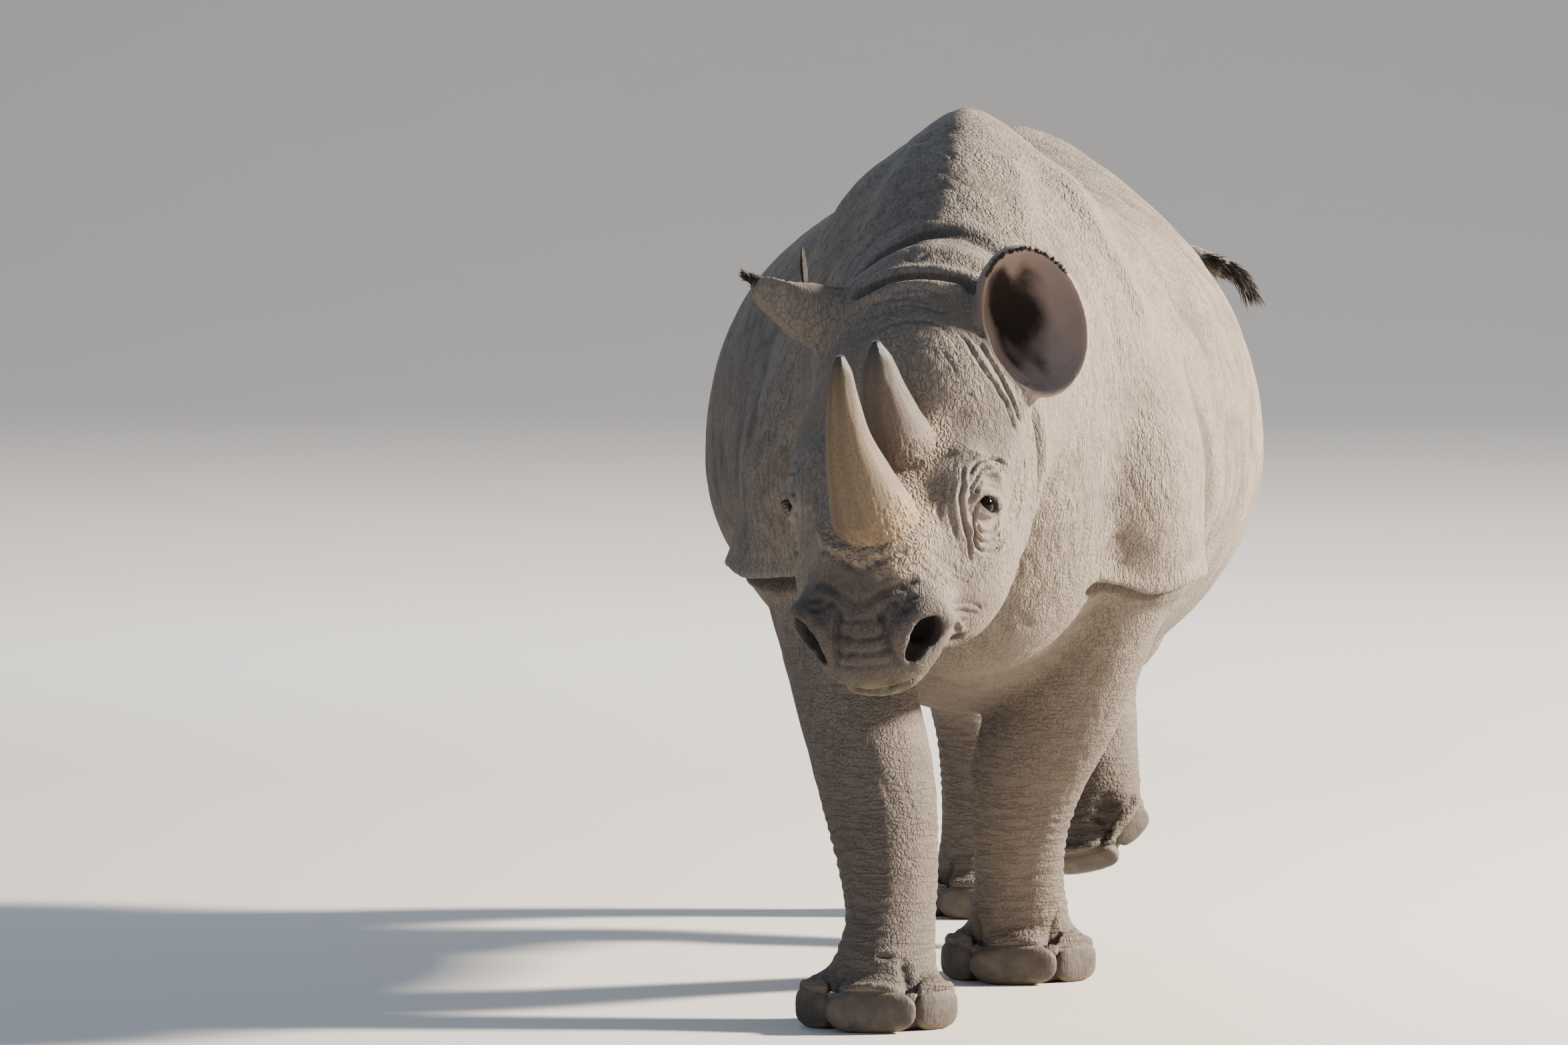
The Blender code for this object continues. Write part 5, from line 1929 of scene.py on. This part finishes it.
@dataclass(frozen=True)
class HideFinish:
    """Dusty grey hide: long wrinkles on neck and flanks and level ones on the legs, over a net of
    pebbles, with painted shade in the net's valleys and in deep creases, a darker muzzle and lower
    legs, and pinkish ears with painted shade in their canals."""

    dusty: Colour = (0.222, 0.185, 0.150)
    bare: Colour = (0.150, 0.125, 0.105)
    leg: Colour = (0.112, 0.092, 0.077)
    muzzle: Colour = (0.080, 0.069, 0.062)
    # painted shade: the colour laid into the valleys of the wrinkle net and into deep creases
    valley: Colour = (0.058, 0.046, 0.039)
    ear: Colour = (0.270, 0.205, 0.178)
    # painted shade: near black in the ear canals and inside the nostrils
    dark: Colour = (0.016, 0.010, 0.008)
    stain: Colour = (0.165, 0.145, 0.078)
    collar: Colour = (0.25, 0.195, 0.140)
    # dark rims of the ears and their points; round the eye slits dark lid margins with painted shade, round
    # the nostrils painted shade
    rim: Colour = (0.030, 0.024, 0.021)

    @staticmethod
    def cracked(g: Graph, place: Socket, turn: Point, scale: Point, wide: float = 0.24) -> Socket:
        """Pads at 1 and cracks at 0: the borders of stretched cells."""
        return g.remap(g.cells(g.stretched(place, turn, scale), 1.0), 0.0, wide)

    @staticmethod
    def lined(g: Graph, place: Socket, turn: Point, scale: Point, wide: float = 0.085) -> Socket:
        """Hide at 1 and thin wrinkles at 0, where stretched noise passes through a half."""
        bumpy = g.noise(g.stretched(place, turn, scale), 1.0, 2.5, 0.55)
        return g.remap(g.math("ABSOLUTE", g.math("SUBTRACT", bumpy, 0.5)), 0.0, wide)

    def build(self) -> bpy.types.Material:
        """The material."""
        g = Graph("dusty_hide")
        place = g.place()
        wavy = g.warped(g.warped(place, 9.0, 0.040), 45.0, 0.010)
        leg, muzzle, face = g.mark("leg"), g.mark("muzzle"), g.mark("face")
        inside, fold, collar = g.mark("ear_inside"), g.mark("fold"), g.mark("collar")
        down = self.lined(g, place, (8, 24, 0), (84, 74, 20))
        aslant = self.lined(g, place, (0, -40, 20), (60, 52, 24))
        web = self.cracked(g, wavy, (0, -40, 20), (98, 90, 54), 0.16)
        level = self.lined(g, place, (6, 0, 0), (13, 13, 78))
        pebbles = self.cracked(g, wavy, (10, 20, 30), (120, 120, 95), 0.30)
        small = self.cracked(g, wavy, (40, 10, 70), (260, 260, 215), 0.34)
        clumps = self.cracked(g, wavy, (40, 10, 70), (105, 105, 95), 0.34)
        patches = g.remap(g.noise(place, 7.0, 3.0), 0.34, 0.58, 0.35, 1.0)
        body = g.sum(g.times(down, patches, 0.00135), g.times(aslant, 0.00075),
                     g.times(pebbles, patches, 0.00125))
        legs = g.sum(g.times(level, 0.00120), g.times(pebbles, 0.00110))
        head = g.sum(g.times(aslant, patches, 0.00070), g.times(down, 0.00025),
                     g.times(web, patches, 0.00100), g.times(pebbles, 0.00030))
        net = g.blend(face, g.blend(leg, body, legs), head)
        fine = g.times(small, 0.00036)
        crumbs = g.times(clumps, collar, 0.0030)
        grain = g.times(g.noise(place, 800.0, 2.0), 0.00020)
        lumps = g.times(g.noise(place, 60.0, 3.0), 0.0009)
        plain = g.math("MINIMUM", g.less(g.times(inside, 0.9)), g.less(g.mark("smooth")))
        height = g.sum(g.times(g.sum(net, fine, lumps, crumbs), plain), grain)
        # worn: the net's height as a share of its full height; valley: where the net is low, darkened below
        # with painted shade
        worn = g.math("DIVIDE", g.sum(net, fine), 0.0026)
        valley = g.times(g.less(worn), plain)
        # hollow: how deep a crease of the relief goes, darkened below with painted shade
        hollow = g.remap(fold, -0.0006, -0.0055)
        clouds = g.remap(g.noise(place, 3.0, 4.0, 0.6), 0.35, 0.70)
        streaks = g.remap(g.noise(g.stretched(wavy, (0, 20, 0), (26, 26, 4)), 1.0, 3.0), 0.35, 0.70)
        bare = g.times(g.sum(g.times(clouds, 0.6), g.times(streaks, 0.4)), 0.42)
        crumbled = g.remap(g.noise(place, 90.0, 3.0), 0.30, 0.60)
        blotched = g.remap(g.noise(place, 40.0, 3.0), 0.35, 0.65)
        colour = g.layers(
            self.dusty,
            (bare, self.bare),
            (g.times(leg, 0.85), self.leg),
            (g.times(muzzle, 0.92), self.muzzle),
            # painted shade in the net's valleys and in deep creases
            (g.times(g.remap(valley, 0.15, 1.0), 0.55), self.valley),
            (g.times(hollow, 0.62), self.valley),
            (g.times(collar, crumbled), self.collar),
            (g.times(g.mark("stain"), blotched), self.stain),
            (inside, self.ear),
            # painted shade in the ear canals and inside the nostrils
            (g.mark("canal"), self.dark),
            # dark ear rims and points; dark lid margins with painted shade at the eye slits, painted shade at
            # the nostrils
            (g.mark("rim"), self.rim),
        )
        rough = g.sum(0.78, g.times(g.noise(place, 60.0), 0.17))
        return g.finish(colour, rough, height, Specular_IOR_Level=0.25)


@dataclass(frozen=True)
class HornFinish:
    """Fibrous horn with darker streaks, a dark polished tip and a pale crumbly foot."""

    light: Colour = (0.150, 0.111, 0.070)
    streak: Colour = (0.080, 0.054, 0.032)
    tip: Colour = (0.048, 0.036, 0.030)
    foot: Colour = (0.25, 0.172, 0.104)

    def build(self, name: str) -> bpy.types.Material:
        """The material: fibres from noise stretched up the horn, and pits and crumbs at its foot.

        Args:
            name: The name of the material.

        Returns:
            The material.
        """
        g = Graph(name)
        up, place = g.mark("up"), g.place()
        round_it = g.node("ShaderNodeCombineXYZ", {0: g.times(g.mark("left_side"), 8.0),
                                                   1: g.times(g.mark("front_side"), 8.0),
                                                   2: g.times(up, 2.4)}).outputs[0]
        round_it = g.warped(round_it, 0.8, 0.5)
        coarse = g.noise(round_it, 0.45, 3.0)
        fine = g.noise(g.vector("MULTIPLY", round_it, (1.0, 1.0, 0.6)), 3.4, 4.0, 0.7)
        speckles = g.noise(place, 240.0, 3.0)
        ragged = g.sum(up, g.times(g.math("SUBTRACT", coarse, 0.5), 0.30))
        crumbly = g.sum(up, g.times(g.math("SUBTRACT", g.noise(place, 34.0, 4.0), 0.5), 0.30),
                        g.times(g.mark("left_side"), -0.05))
        foot = g.remap(crumbly, 0.27, 0.12)
        pits = g.remap(g.cells(place, 150.0, Cell.NEAREST), 0.15, 0.55)
        colour = g.layers(
            self.light,
            (g.times(g.remap(coarse, 0.40, 0.66), 0.40), self.streak),
            (g.times(g.remap(fine, 0.45, 0.66), 0.25), self.streak),
            (g.times(g.remap(speckles, 0.46, 0.60), 0.60), self.streak),
            (g.times(g.remap(ragged, 0.60, 0.88), 0.75), self.streak),
            (g.remap(ragged, 0.80, 0.97), self.tip),
            (g.times(foot, 0.85), self.foot),
            (g.times(foot, g.less(pits), 0.6), self.streak),
        )
        rough = g.blend(g.remap(up, 0.78, 0.95), 0.64, 0.30)
        height = g.sum(g.times(fine, 0.0007), g.times(g.noise(place, 300.0, 3.0), 0.0004),
                       g.times(g.noise(place, 95.0, 3.0), foot, 0.0035), g.times(pits, foot, 0.0016))
        return g.finish(colour, rough, height, Specular_IOR_Level=0.35)


@dataclass(frozen=True)
class EyeFinish:
    """A moist dark brown eye, with a round black pupil in a rayed iris."""

    white: Colour = (0.022, 0.014, 0.011)
    iris: Colour = (0.016, 0.008, 0.005)
    ray: Colour = (0.010, 0.006, 0.004)
    pupil: Colour = (0.002, 0.002, 0.002)

    def build(self) -> bpy.types.Material:
        """The material."""
        g = Graph("eye")
        angle = g.mark("angle")
        rays = g.noise(g.place(), 900.0, 2.0)
        colour = g.layers(self.iris, (rays, self.ray), (g.remap(angle, 0.80, 0.88), self.white),
                          (g.remap(angle, 0.36, 0.30), self.pupil))
        return g.finish(colour, 0.20, None, Specular_IOR_Level=0.10)


@dataclass(frozen=True)
class NailFinish:
    """Dusty grey-brown horn with a tan worn edge."""

    dusty: Colour = (0.088, 0.072, 0.058)
    grey: Colour = (0.055, 0.046, 0.040)
    worn: Colour = (0.150, 0.112, 0.074)

    def build(self) -> bpy.types.Material:
        """The material: scuffs, upright grain, a tan cuticle and a tan worn edge."""
        g = Graph("nail")
        place, up = g.place(), g.mark("up")
        clouds = g.noise(place, 28.0, 4.0, 0.6)
        uneven = g.sum(up, g.times(g.math("SUBTRACT", clouds, 0.5), 0.25))
        streaks = g.noise(g.stretched(place, (0, 0, 0), (190, 190, 22)), 1.0, 3.0)
        colour = g.layers(
            self.dusty,
            (g.remap(clouds, 0.38, 0.62), self.grey),
            (g.times(g.remap(uneven, 0.30, 0.10), 0.75), self.worn),
            (g.times(g.remap(uneven, 0.86, 0.94), 0.75), self.worn),
            (g.times(g.remap(streaks, 0.5, 0.7), 0.35), self.grey),
        )
        height = g.sum(g.times(streaks, 0.0012), g.times(g.noise(place, 500.0, 2.0), 0.0003),
                       g.times(g.noise(place, 60.0, 3.0), 0.0020))
        return g.finish(colour, 0.66, height, Specular_IOR_Level=0.3)


@dataclass(frozen=True)
class HairFinish:
    """Stiff near-black bristles that are a little paler at their tips."""

    root: Colour = (0.018, 0.013, 0.011)
    end: Colour = (0.055, 0.040, 0.032)

    def build(self) -> bpy.types.Material:
        """The material."""
        g = Graph("hair")
        colour = g.mix(g.remap(g.mark("along"), 0.3, 1.0), self.root, self.end)
        streaks = g.noise(g.place(), 900.0, 2.0)
        return g.finish(g.mix(g.times(streaks, 0.5), colour, self.root), 0.55, None)


# --- Studio -----------------------------------------------
@dataclass
class Studio:
    """A pale floor and backdrop, a warm low light and cool soft ones, and a far camera."""

    camera_place: Point = (1.429, -16.838, 1.8)
    yaw: float = 6.148
    pitch: float = -3.297
    lens: float = 213.06
    sensor: float = 36.0
    reach: float = 40.0                 # how far the floor runs to the sides and forward
    rise: float = 22.0                  # where the backdrop starts
    bend: float = 18.0                  # radius of the backdrop
    floor_colour: Colour = (0.62, 0.58, 0.53)
    floor_cloud: Colour = (0.5, 0.46, 0.42)
    sky_colour: Colour = (0.60, 0.74, 1.0)
    sky_strength: float = 0.34

    def floor(self) -> None:
        """A floor that rises into a backdrop far behind: z = 0, then a quarter circle."""
        turn = np.linspace(0, math.pi / 2, 40)
        along = np.concatenate([[-self.reach], self.rise + self.bend * np.sin(turn)])
        height = np.concatenate([[0], self.bend - self.bend * np.cos(turn)])
        across = np.linspace(-self.reach, self.reach, 2)
        points = np.stack([np.repeat(across, len(along)), np.tile(along, 2), np.tile(height, 2)], 1)
        floor = new_object("floor", points - SHIFT, sheet_faces(2, len(along), closed=False))
        g = Graph("floor")
        clouds = g.noise(g.place(), 1.3, 3.0)
        g.finish(g.mix(g.times(clouds, 0.15), self.floor_colour, self.floor_cloud), 0.9)
        floor.data.materials.append(g.material)

    @staticmethod
    def light(name: str, place: Point, size: float, power: float, colour: Colour,
              target: Point = (0.0, -0.4, 0.8)) -> None:
        """A square lamp aimed at a point, by default the middle of the animal.

        Args:
            name: Its name.
            place: Where it is.
            size: The length of its side.
            power: Its power in watts.
            colour: Its colour.
            target: The point that it is aimed at.
        """
        lamp = bpy.data.lights.new(name, "AREA")
        lamp.size, lamp.energy, lamp.color = size, power, colour
        thing = bpy.data.objects.new(name, lamp)
        thing.location = place
        aim = Vector(target) - thing.location
        thing.rotation_euler = aim.to_track_quat("-Z", "Y").to_euler()
        bpy.context.scene.collection.objects.link(thing)

    def camera(self) -> None:
        """The camera, turned about the upright and tipped down a little."""
        lens = bpy.data.cameras.new("camera")
        lens.lens, lens.sensor_width = self.lens, self.sensor
        lens.clip_start, lens.clip_end = 1.0, 200.0
        thing = bpy.data.objects.new("camera", lens)
        thing.location = np.array(self.camera_place) + SHIFT
        thing.rotation_euler = (math.radians(90 + self.pitch), 0, math.radians(self.yaw))
        bpy.context.scene.collection.objects.link(thing)
        bpy.context.scene.camera = thing

    def build(self) -> None:
        """Everything but the animal."""
        self.floor()
        self.light("key", (9.5, 2.0, 5.1), 1.0, 7900, (1.0, 0.89, 0.75))
        self.light("fill", (-4.0, -12.0, 5.0), 7.0, 330, (0.62, 0.80, 1.0))
        self.light("rear", (-2.0, 8.0, 6.0), 6.0, 420, (0.72, 0.85, 1.0))
        self.light("backdrop", (0.0, 9.0, 10.0), 8.0, 2600, (1.0, 0.97, 0.93), (0.0, 30.0, 0.0))
        world = bpy.data.worlds.new("studio")
        world.use_nodes = True
        sky = world.node_tree.nodes["Background"]
        sky.inputs["Color"].default_value = (*self.sky_colour, 1)
        sky.inputs["Strength"].default_value = self.sky_strength
        bpy.context.scene.world = world
        self.camera()


# --- The animal -------------------------------------------
FLESH = ("trunk", "neck", "head", "tail", "ear_left", "ear_right",
         "leg_front_right_upper", "leg_front_right_lower", "foot_front_right",
         "leg_front_left_upper", "leg_front_left_lower", "foot_front_left",
         "leg_hind_right_upper", "leg_hind_right_lower", "foot_hind_right",
         "leg_hind_left_lower", "foot_hind_left")


# A piece with its material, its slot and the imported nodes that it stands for.
Piece = tuple[bpy.types.Object, bpy.types.Material, str, tuple[str, ...]]


def middle_of(node: str) -> Array:
    """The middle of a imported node, in the plan of the body."""
    low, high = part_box(node)
    return (np.array(low) + np.array(high)) / 2 - SHIFT


@dataclass
class Rhinoceros:
    """The whole animal."""

    feet: tuple[Foot, ...] = (
        Foot("front_right", (-0.128, -0.855, 0.0), 0.127),
        Foot("front_left", (0.053, -0.055, 0.0), 0.127),
        Foot("hind_right", (-0.122, 1.10, 0.0), 0.112),
        Foot("hind_left", (0.140, 0.60, 0.222), 0.108, droop=45, roll=-18),
    )
    ears: tuple[Ear, ...] = (
        Ear((0.075, -1.06, 1.185), (0.161, -1.135, 1.236), (-0.33, 0, 0.95), (0.28, -0.93, -0.05),
            0.135, 0.094, -0.014),
        Ear((-0.130, -1.05, 1.205), (-0.232, -1.03, 1.257), (-0.89, -0.19, 0.42), (0.15, 0.62, 0.77),
            0.106, 0.060, 0.0, depth=0.044, wall=0.010, stalk=0.042, lift=0.022, outward=0.022,
            tips=(((-0.322, -1.050, 1.302), (0.028, 0.012, 0.0085), (0, 18, 0)),
                  ((-0.243, -0.995, 1.312), (0.0075, 0.026, 0.048), (0, -4, 0)))),
    )
    forelegs: tuple[Foreleg, ...] = (
        Foreleg(metres((-275, -450, 840, 130, 170), (-235, -500, 700, 118, 140),
                       (-192, -600, 550, 108, 115), (-148, -685, 410, 104, 105),
                       (-122, -745, 280, 89, 92), (-112, -795, 170, 78, 88), (-120, -840, 80, 93, 102)),
                metres((-400, -360, 800, 50, 40), (-370, -520, 800, 50, 40), (-270, -620, 810, 50, 40)),
                metres((-440, -280, 760), (-435, -400, 752), (-420, -492, 752), (-385, -566, 745),
                       (-332, -626, 748), (-250, -670, 765), (-160, -710, 790))),
        Foreleg(metres((275, -430, 840, 130, 170), (224, -410, 710, 118, 145), (149, -350, 530, 113, 125),
                       (92, -270, 416, 107, 110), (66, -195, 300, 88, 93), (58, -125, 190, 80, 88),
                       (53, -70, 80, 95, 102)),
                metres((360, -360, 790, 50, 40), (330, -520, 780, 50, 40), (220, -630, 810, 50, 40)),
                metres((400, -260, 760), (405, -400, 745), (384, -500, 738), (365, -545, 728),
                       (316, -591, 722), (257, -669, 738), (190, -720, 775))),
    )
    hindlegs: tuple[Hindleg, ...] = (
        Hindleg(metres((-230, 800, 950, 150, 270), (-225, 860, 800, 120, 245), (-190, 930, 620, 98, 165),
                       (-148, 1070, 460, 80, 108), (-128, 1100, 310, 72, 82), (-122, 1100, 170, 72, 80),
                       (-122, 1110, 80, 85, 95)), (-0.245, 0.66, 0.70), 0.095),
        Hindleg(metres((210, 700, 950, 145, 265), (205, 660, 790, 108, 240), (170, 650, 630, 90, 165),
                       (135, 750, 490, 77, 102), (145, 690, 390, 71, 78), (150, 620, 310, 76, 76)),
                (0.205, 0.54, 0.69), 0.085),
    )

    lids: Optional[Lids] = None         # set once the frame gives the eyes' places

    def mark_skin(self, skin: bpy.types.Object) -> None:
        """Stores where the skin is leg, face, muzzle, ear, stained or smooth, for its finish."""
        points = points_of(skin)
        head = HEAD.to_local(points)
        face = Skin.head_share(points)
        forward, out = head[:, 0], head[:, 2]
        mark(skin, "face", face)
        mark(skin, "leg", 1 - ramp(points[:, 2], 0.30, 0.85))
        wide = np.maximum(np.abs(head[:, 1]) - 0.07, 0)
        mark(skin, "muzzle", face * ramp(forward - 0.6 * wide, 0.525, 0.635))
        mark(skin, "stain", face * ramp(forward, 0.66, 0.71) * ramp(-out, 0.045, 0.085))
        mark(skin, "collar", self.collar_share(head))
        to_eye = [np.linalg.norm(points - eye, axis=1) for eye in self.lids.middles()]
        mark(skin, "smooth", 0.65 * ramp(-np.min(to_eye, axis=0), -0.085, -0.040))
        self.mark_ears(skin, points)

    @staticmethod
    def collar_share(head: Array) -> Array:
        """1 on the crumbly skin round the horns, by the distance from each foot over its radii.

        Args:
            head: Points in the head's axes.

        Returns:
            A share for each point.
        """
        forward, left, out = head.T
        front = np.hypot((forward - 0.508) / 0.098, (left - 0.020) / 0.104)
        rear = np.hypot((forward - 0.345) / 0.086, (left - 0.022) / 0.096)
        ragged = 0.16 * noise(head * (55, 55, 55), 51)
        return ramp(-np.minimum(front, rear + 0.03) + ragged, -1.10, -0.92) * ramp(out, 0.04, 0.07)

    def mark_ears(self, skin: bpy.types.Object, points: Array) -> None:
        """Stores the hollows of the ears, painted shade in their canals and in the nostrils, and the
        dark rims of ears and openings: dark lid margins with painted shade round the eye slits, and painted
        shade round the nostrils.

        Args:
            skin: The piece that takes the marks.
            points: Its vertices, in the plan of the body.
        """
        inside, canal, rims = np.zeros((3, len(points)))
        normals = np.empty(3 * len(points), np.float32)
        skin.data.vertex_normals.foreach_get("vector", normals)
        normals = normals.reshape(-1, 3)
        for ear in self.ears:
            axes, forms = ear.axes(), ear.forms()
            local = axes.to_local(points)
            x, y, z = local.T
            reach = np.hypot(x / ear.half_width, y / ear.half_length)
            off = forms[0].distance(points)
            deep = (z < 0.45 * ear.depth) & (off < 0.004)
            hollow = ramp(normals @ axes.columns[:, 2], -0.25, 0.05) * deep
            inside = np.maximum(inside, hollow)
            across = (x - ear.canal) / (0.55 * ear.half_width)
            high = (y - 0.010) / (0.62 * ear.half_length)
            ragged = 0.30 * noise(local * (45, 22, 30), 71)
            # painted shade: darkest in the canal, with more towards the dish's -X side
            shade = ramp(ragged - np.hypot(across, high), -1.25, -0.72)
            shade = shade + 0.30 * ramp(-x, 0.4 * ear.half_width, 0.9 * ear.half_width)
            canal = np.maximum(canal, np.clip(shade, 0, 1) * hollow)
            edge = ramp(reach, 0.86, 0.95) * ramp(z, 0.22 * ear.depth, 0.36 * ear.depth)
            edge *= ramp(-np.abs(off), -0.010, -0.005)
            rims = np.maximum(rims, 0.85 * edge)
            for tip in (form for form in forms if form.late):
                rims = np.maximum(rims, ramp(-tip.distance(points), -0.010, -0.005))
        mark(skin, "ear_inside", inside)
        x, y, z = Nostril().axes().to_local(points).T
        # painted shade inside the nostril
        nostril = ramp(-np.hypot(x / 0.9, y), -0.036, -0.020) * ramp(-z, 0.002, 0.014) * (z > -0.08)
        mark(skin, "canal", np.maximum(canal, nostril))
        # round the eye slits: dark lid margins with painted shade; round the nostrils: painted shade
        slits = [form for form in self.lids.forms() if form.late and form.cuts]
        for hole in (*slits, *(form for form in Nostril().forms() if form.cuts)):
            rims = np.maximum(rims, 0.80 * ramp(-np.abs(hole.distance(points)), -0.0060, -0.0015))
        mark(skin, "rim", rims)

    @staticmethod
    def horns() -> list[Piece]:
        """The two horns, a warm brown one in front of a grey one."""
        brown = HornFinish().build("front_horn")
        grey = HornFinish((0.105, 0.080, 0.063), (0.062, 0.047, 0.038), (0.042, 0.034, 0.030),
                          (0.15, 0.112, 0.084)).build("rear_horn")
        front = Horn("horn_front_cone",
                     metres((505, 12, 50, 78), (505, 12, 130, 68), (500, 10, 200, 56),
                            (482, 6, 280, 39.5), (450, 7, 350, 27), (424, 9, 392, 17.5), (408, 10, 415, 6)),
                     (0.005, 0.002, 0.003, 0.004), 0.0030)
        rear = Horn("horn_rear_cone", ((0.340, 0.020, 0.045, 0.076), (0.340, 0.020, 0.110, 0.067),
                                       (0.334, 0.021, 0.160, 0.054), (0.322, 0.022, 0.215, 0.0405),
                                       (0.308, 0.022, 0.255, 0.0312), (0.297, 0.024, 0.282, 0.0204),
                                       (0.284, 0.024, 0.307, 0.005)),
                    (0.005, 0.002, 0.002, 0.003), 0.0028)
        return [(front.build(), brown, "horn", ("horn_front",)),
                (rear.build(), grey, "horn", ("horn_rear",))]

    def eyeballs(self, places: Array) -> list[Piece]:
        """The two eyeballs, each a little behind the eye's place.

        Args:
            places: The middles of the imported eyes, the left one first.

        Returns:
            The left and the right eyeball.
        """
        finish = EyeFinish().build()
        made = []
        ahead = self.lids.axes().to_plan(np.array([[0, 0, 1.0]]))
        for name, place, middle, tip in zip(("eye_left", "eye_right"), places, self.lids.middles(), ahead):
            out = tip - middle
            ball = Eye("ball_" + name, place - self.lids.sunk * out, out)
            made.append((ball.build(), finish, "eye", (name,)))
        return made

    def nails(self) -> list[Piece]:
        """The twelve nails."""
        finish = NailFinish().build()
        return [(nail.build(), finish, "nail", (nail.node,))
                for foot in self.feet for nail in nails_of(foot)]

    def hairs(self, skin: bpy.types.Object) -> list[Piece]:
        """Fringe, tuft and lashes, which stand for no node, and the tuft of the tail, which does."""
        hair = Hair(self.ears, self.lids, points_of(skin))
        finish = HairFinish().build()
        made: list[Piece] = [(bristles.build(), finish, "hair", ())
                             for bristles in (hair.fringe(), hair.tip_tuft(), hair.lashes())]
        made.append((hair.tail_tuft().build(), finish, "hair", ("tail_tuft",)))
        return made

    def build(self) -> list[Piece]:
        """Every piece of the animal, the skin first."""
        eyes = np.array([middle_of("eye_left"), middle_of("eye_right")])
        eye = tuple(HEAD.to_local(eyes[:1])[0])
        self.lids = Lids(eye)
        parts = [Trunk(), Neck(), Head(eye), *self.ears, *self.forelegs, *self.hindlegs, *self.feet]
        skin = Skin(parts, FLESH, eyes).build()
        self.mark_skin(skin)
        made: list[Piece] = [(skin, HideFinish().build(), "hide", FLESH)]
        return made + self.horns() + self.eyeballs(eyes) + self.nails() + self.hairs(skin)


def main() -> None:
    """Builds the animal and the studio."""
    logging.basicConfig(level=logging.INFO, format="%(relativeCreated)d ms %(message)s")
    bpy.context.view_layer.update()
    for thing, material, slot, nodes in Rhinoceros().build():
        dress(thing, material, slot, nodes)
    Studio().build()


if __name__ == "__main__":
    main()
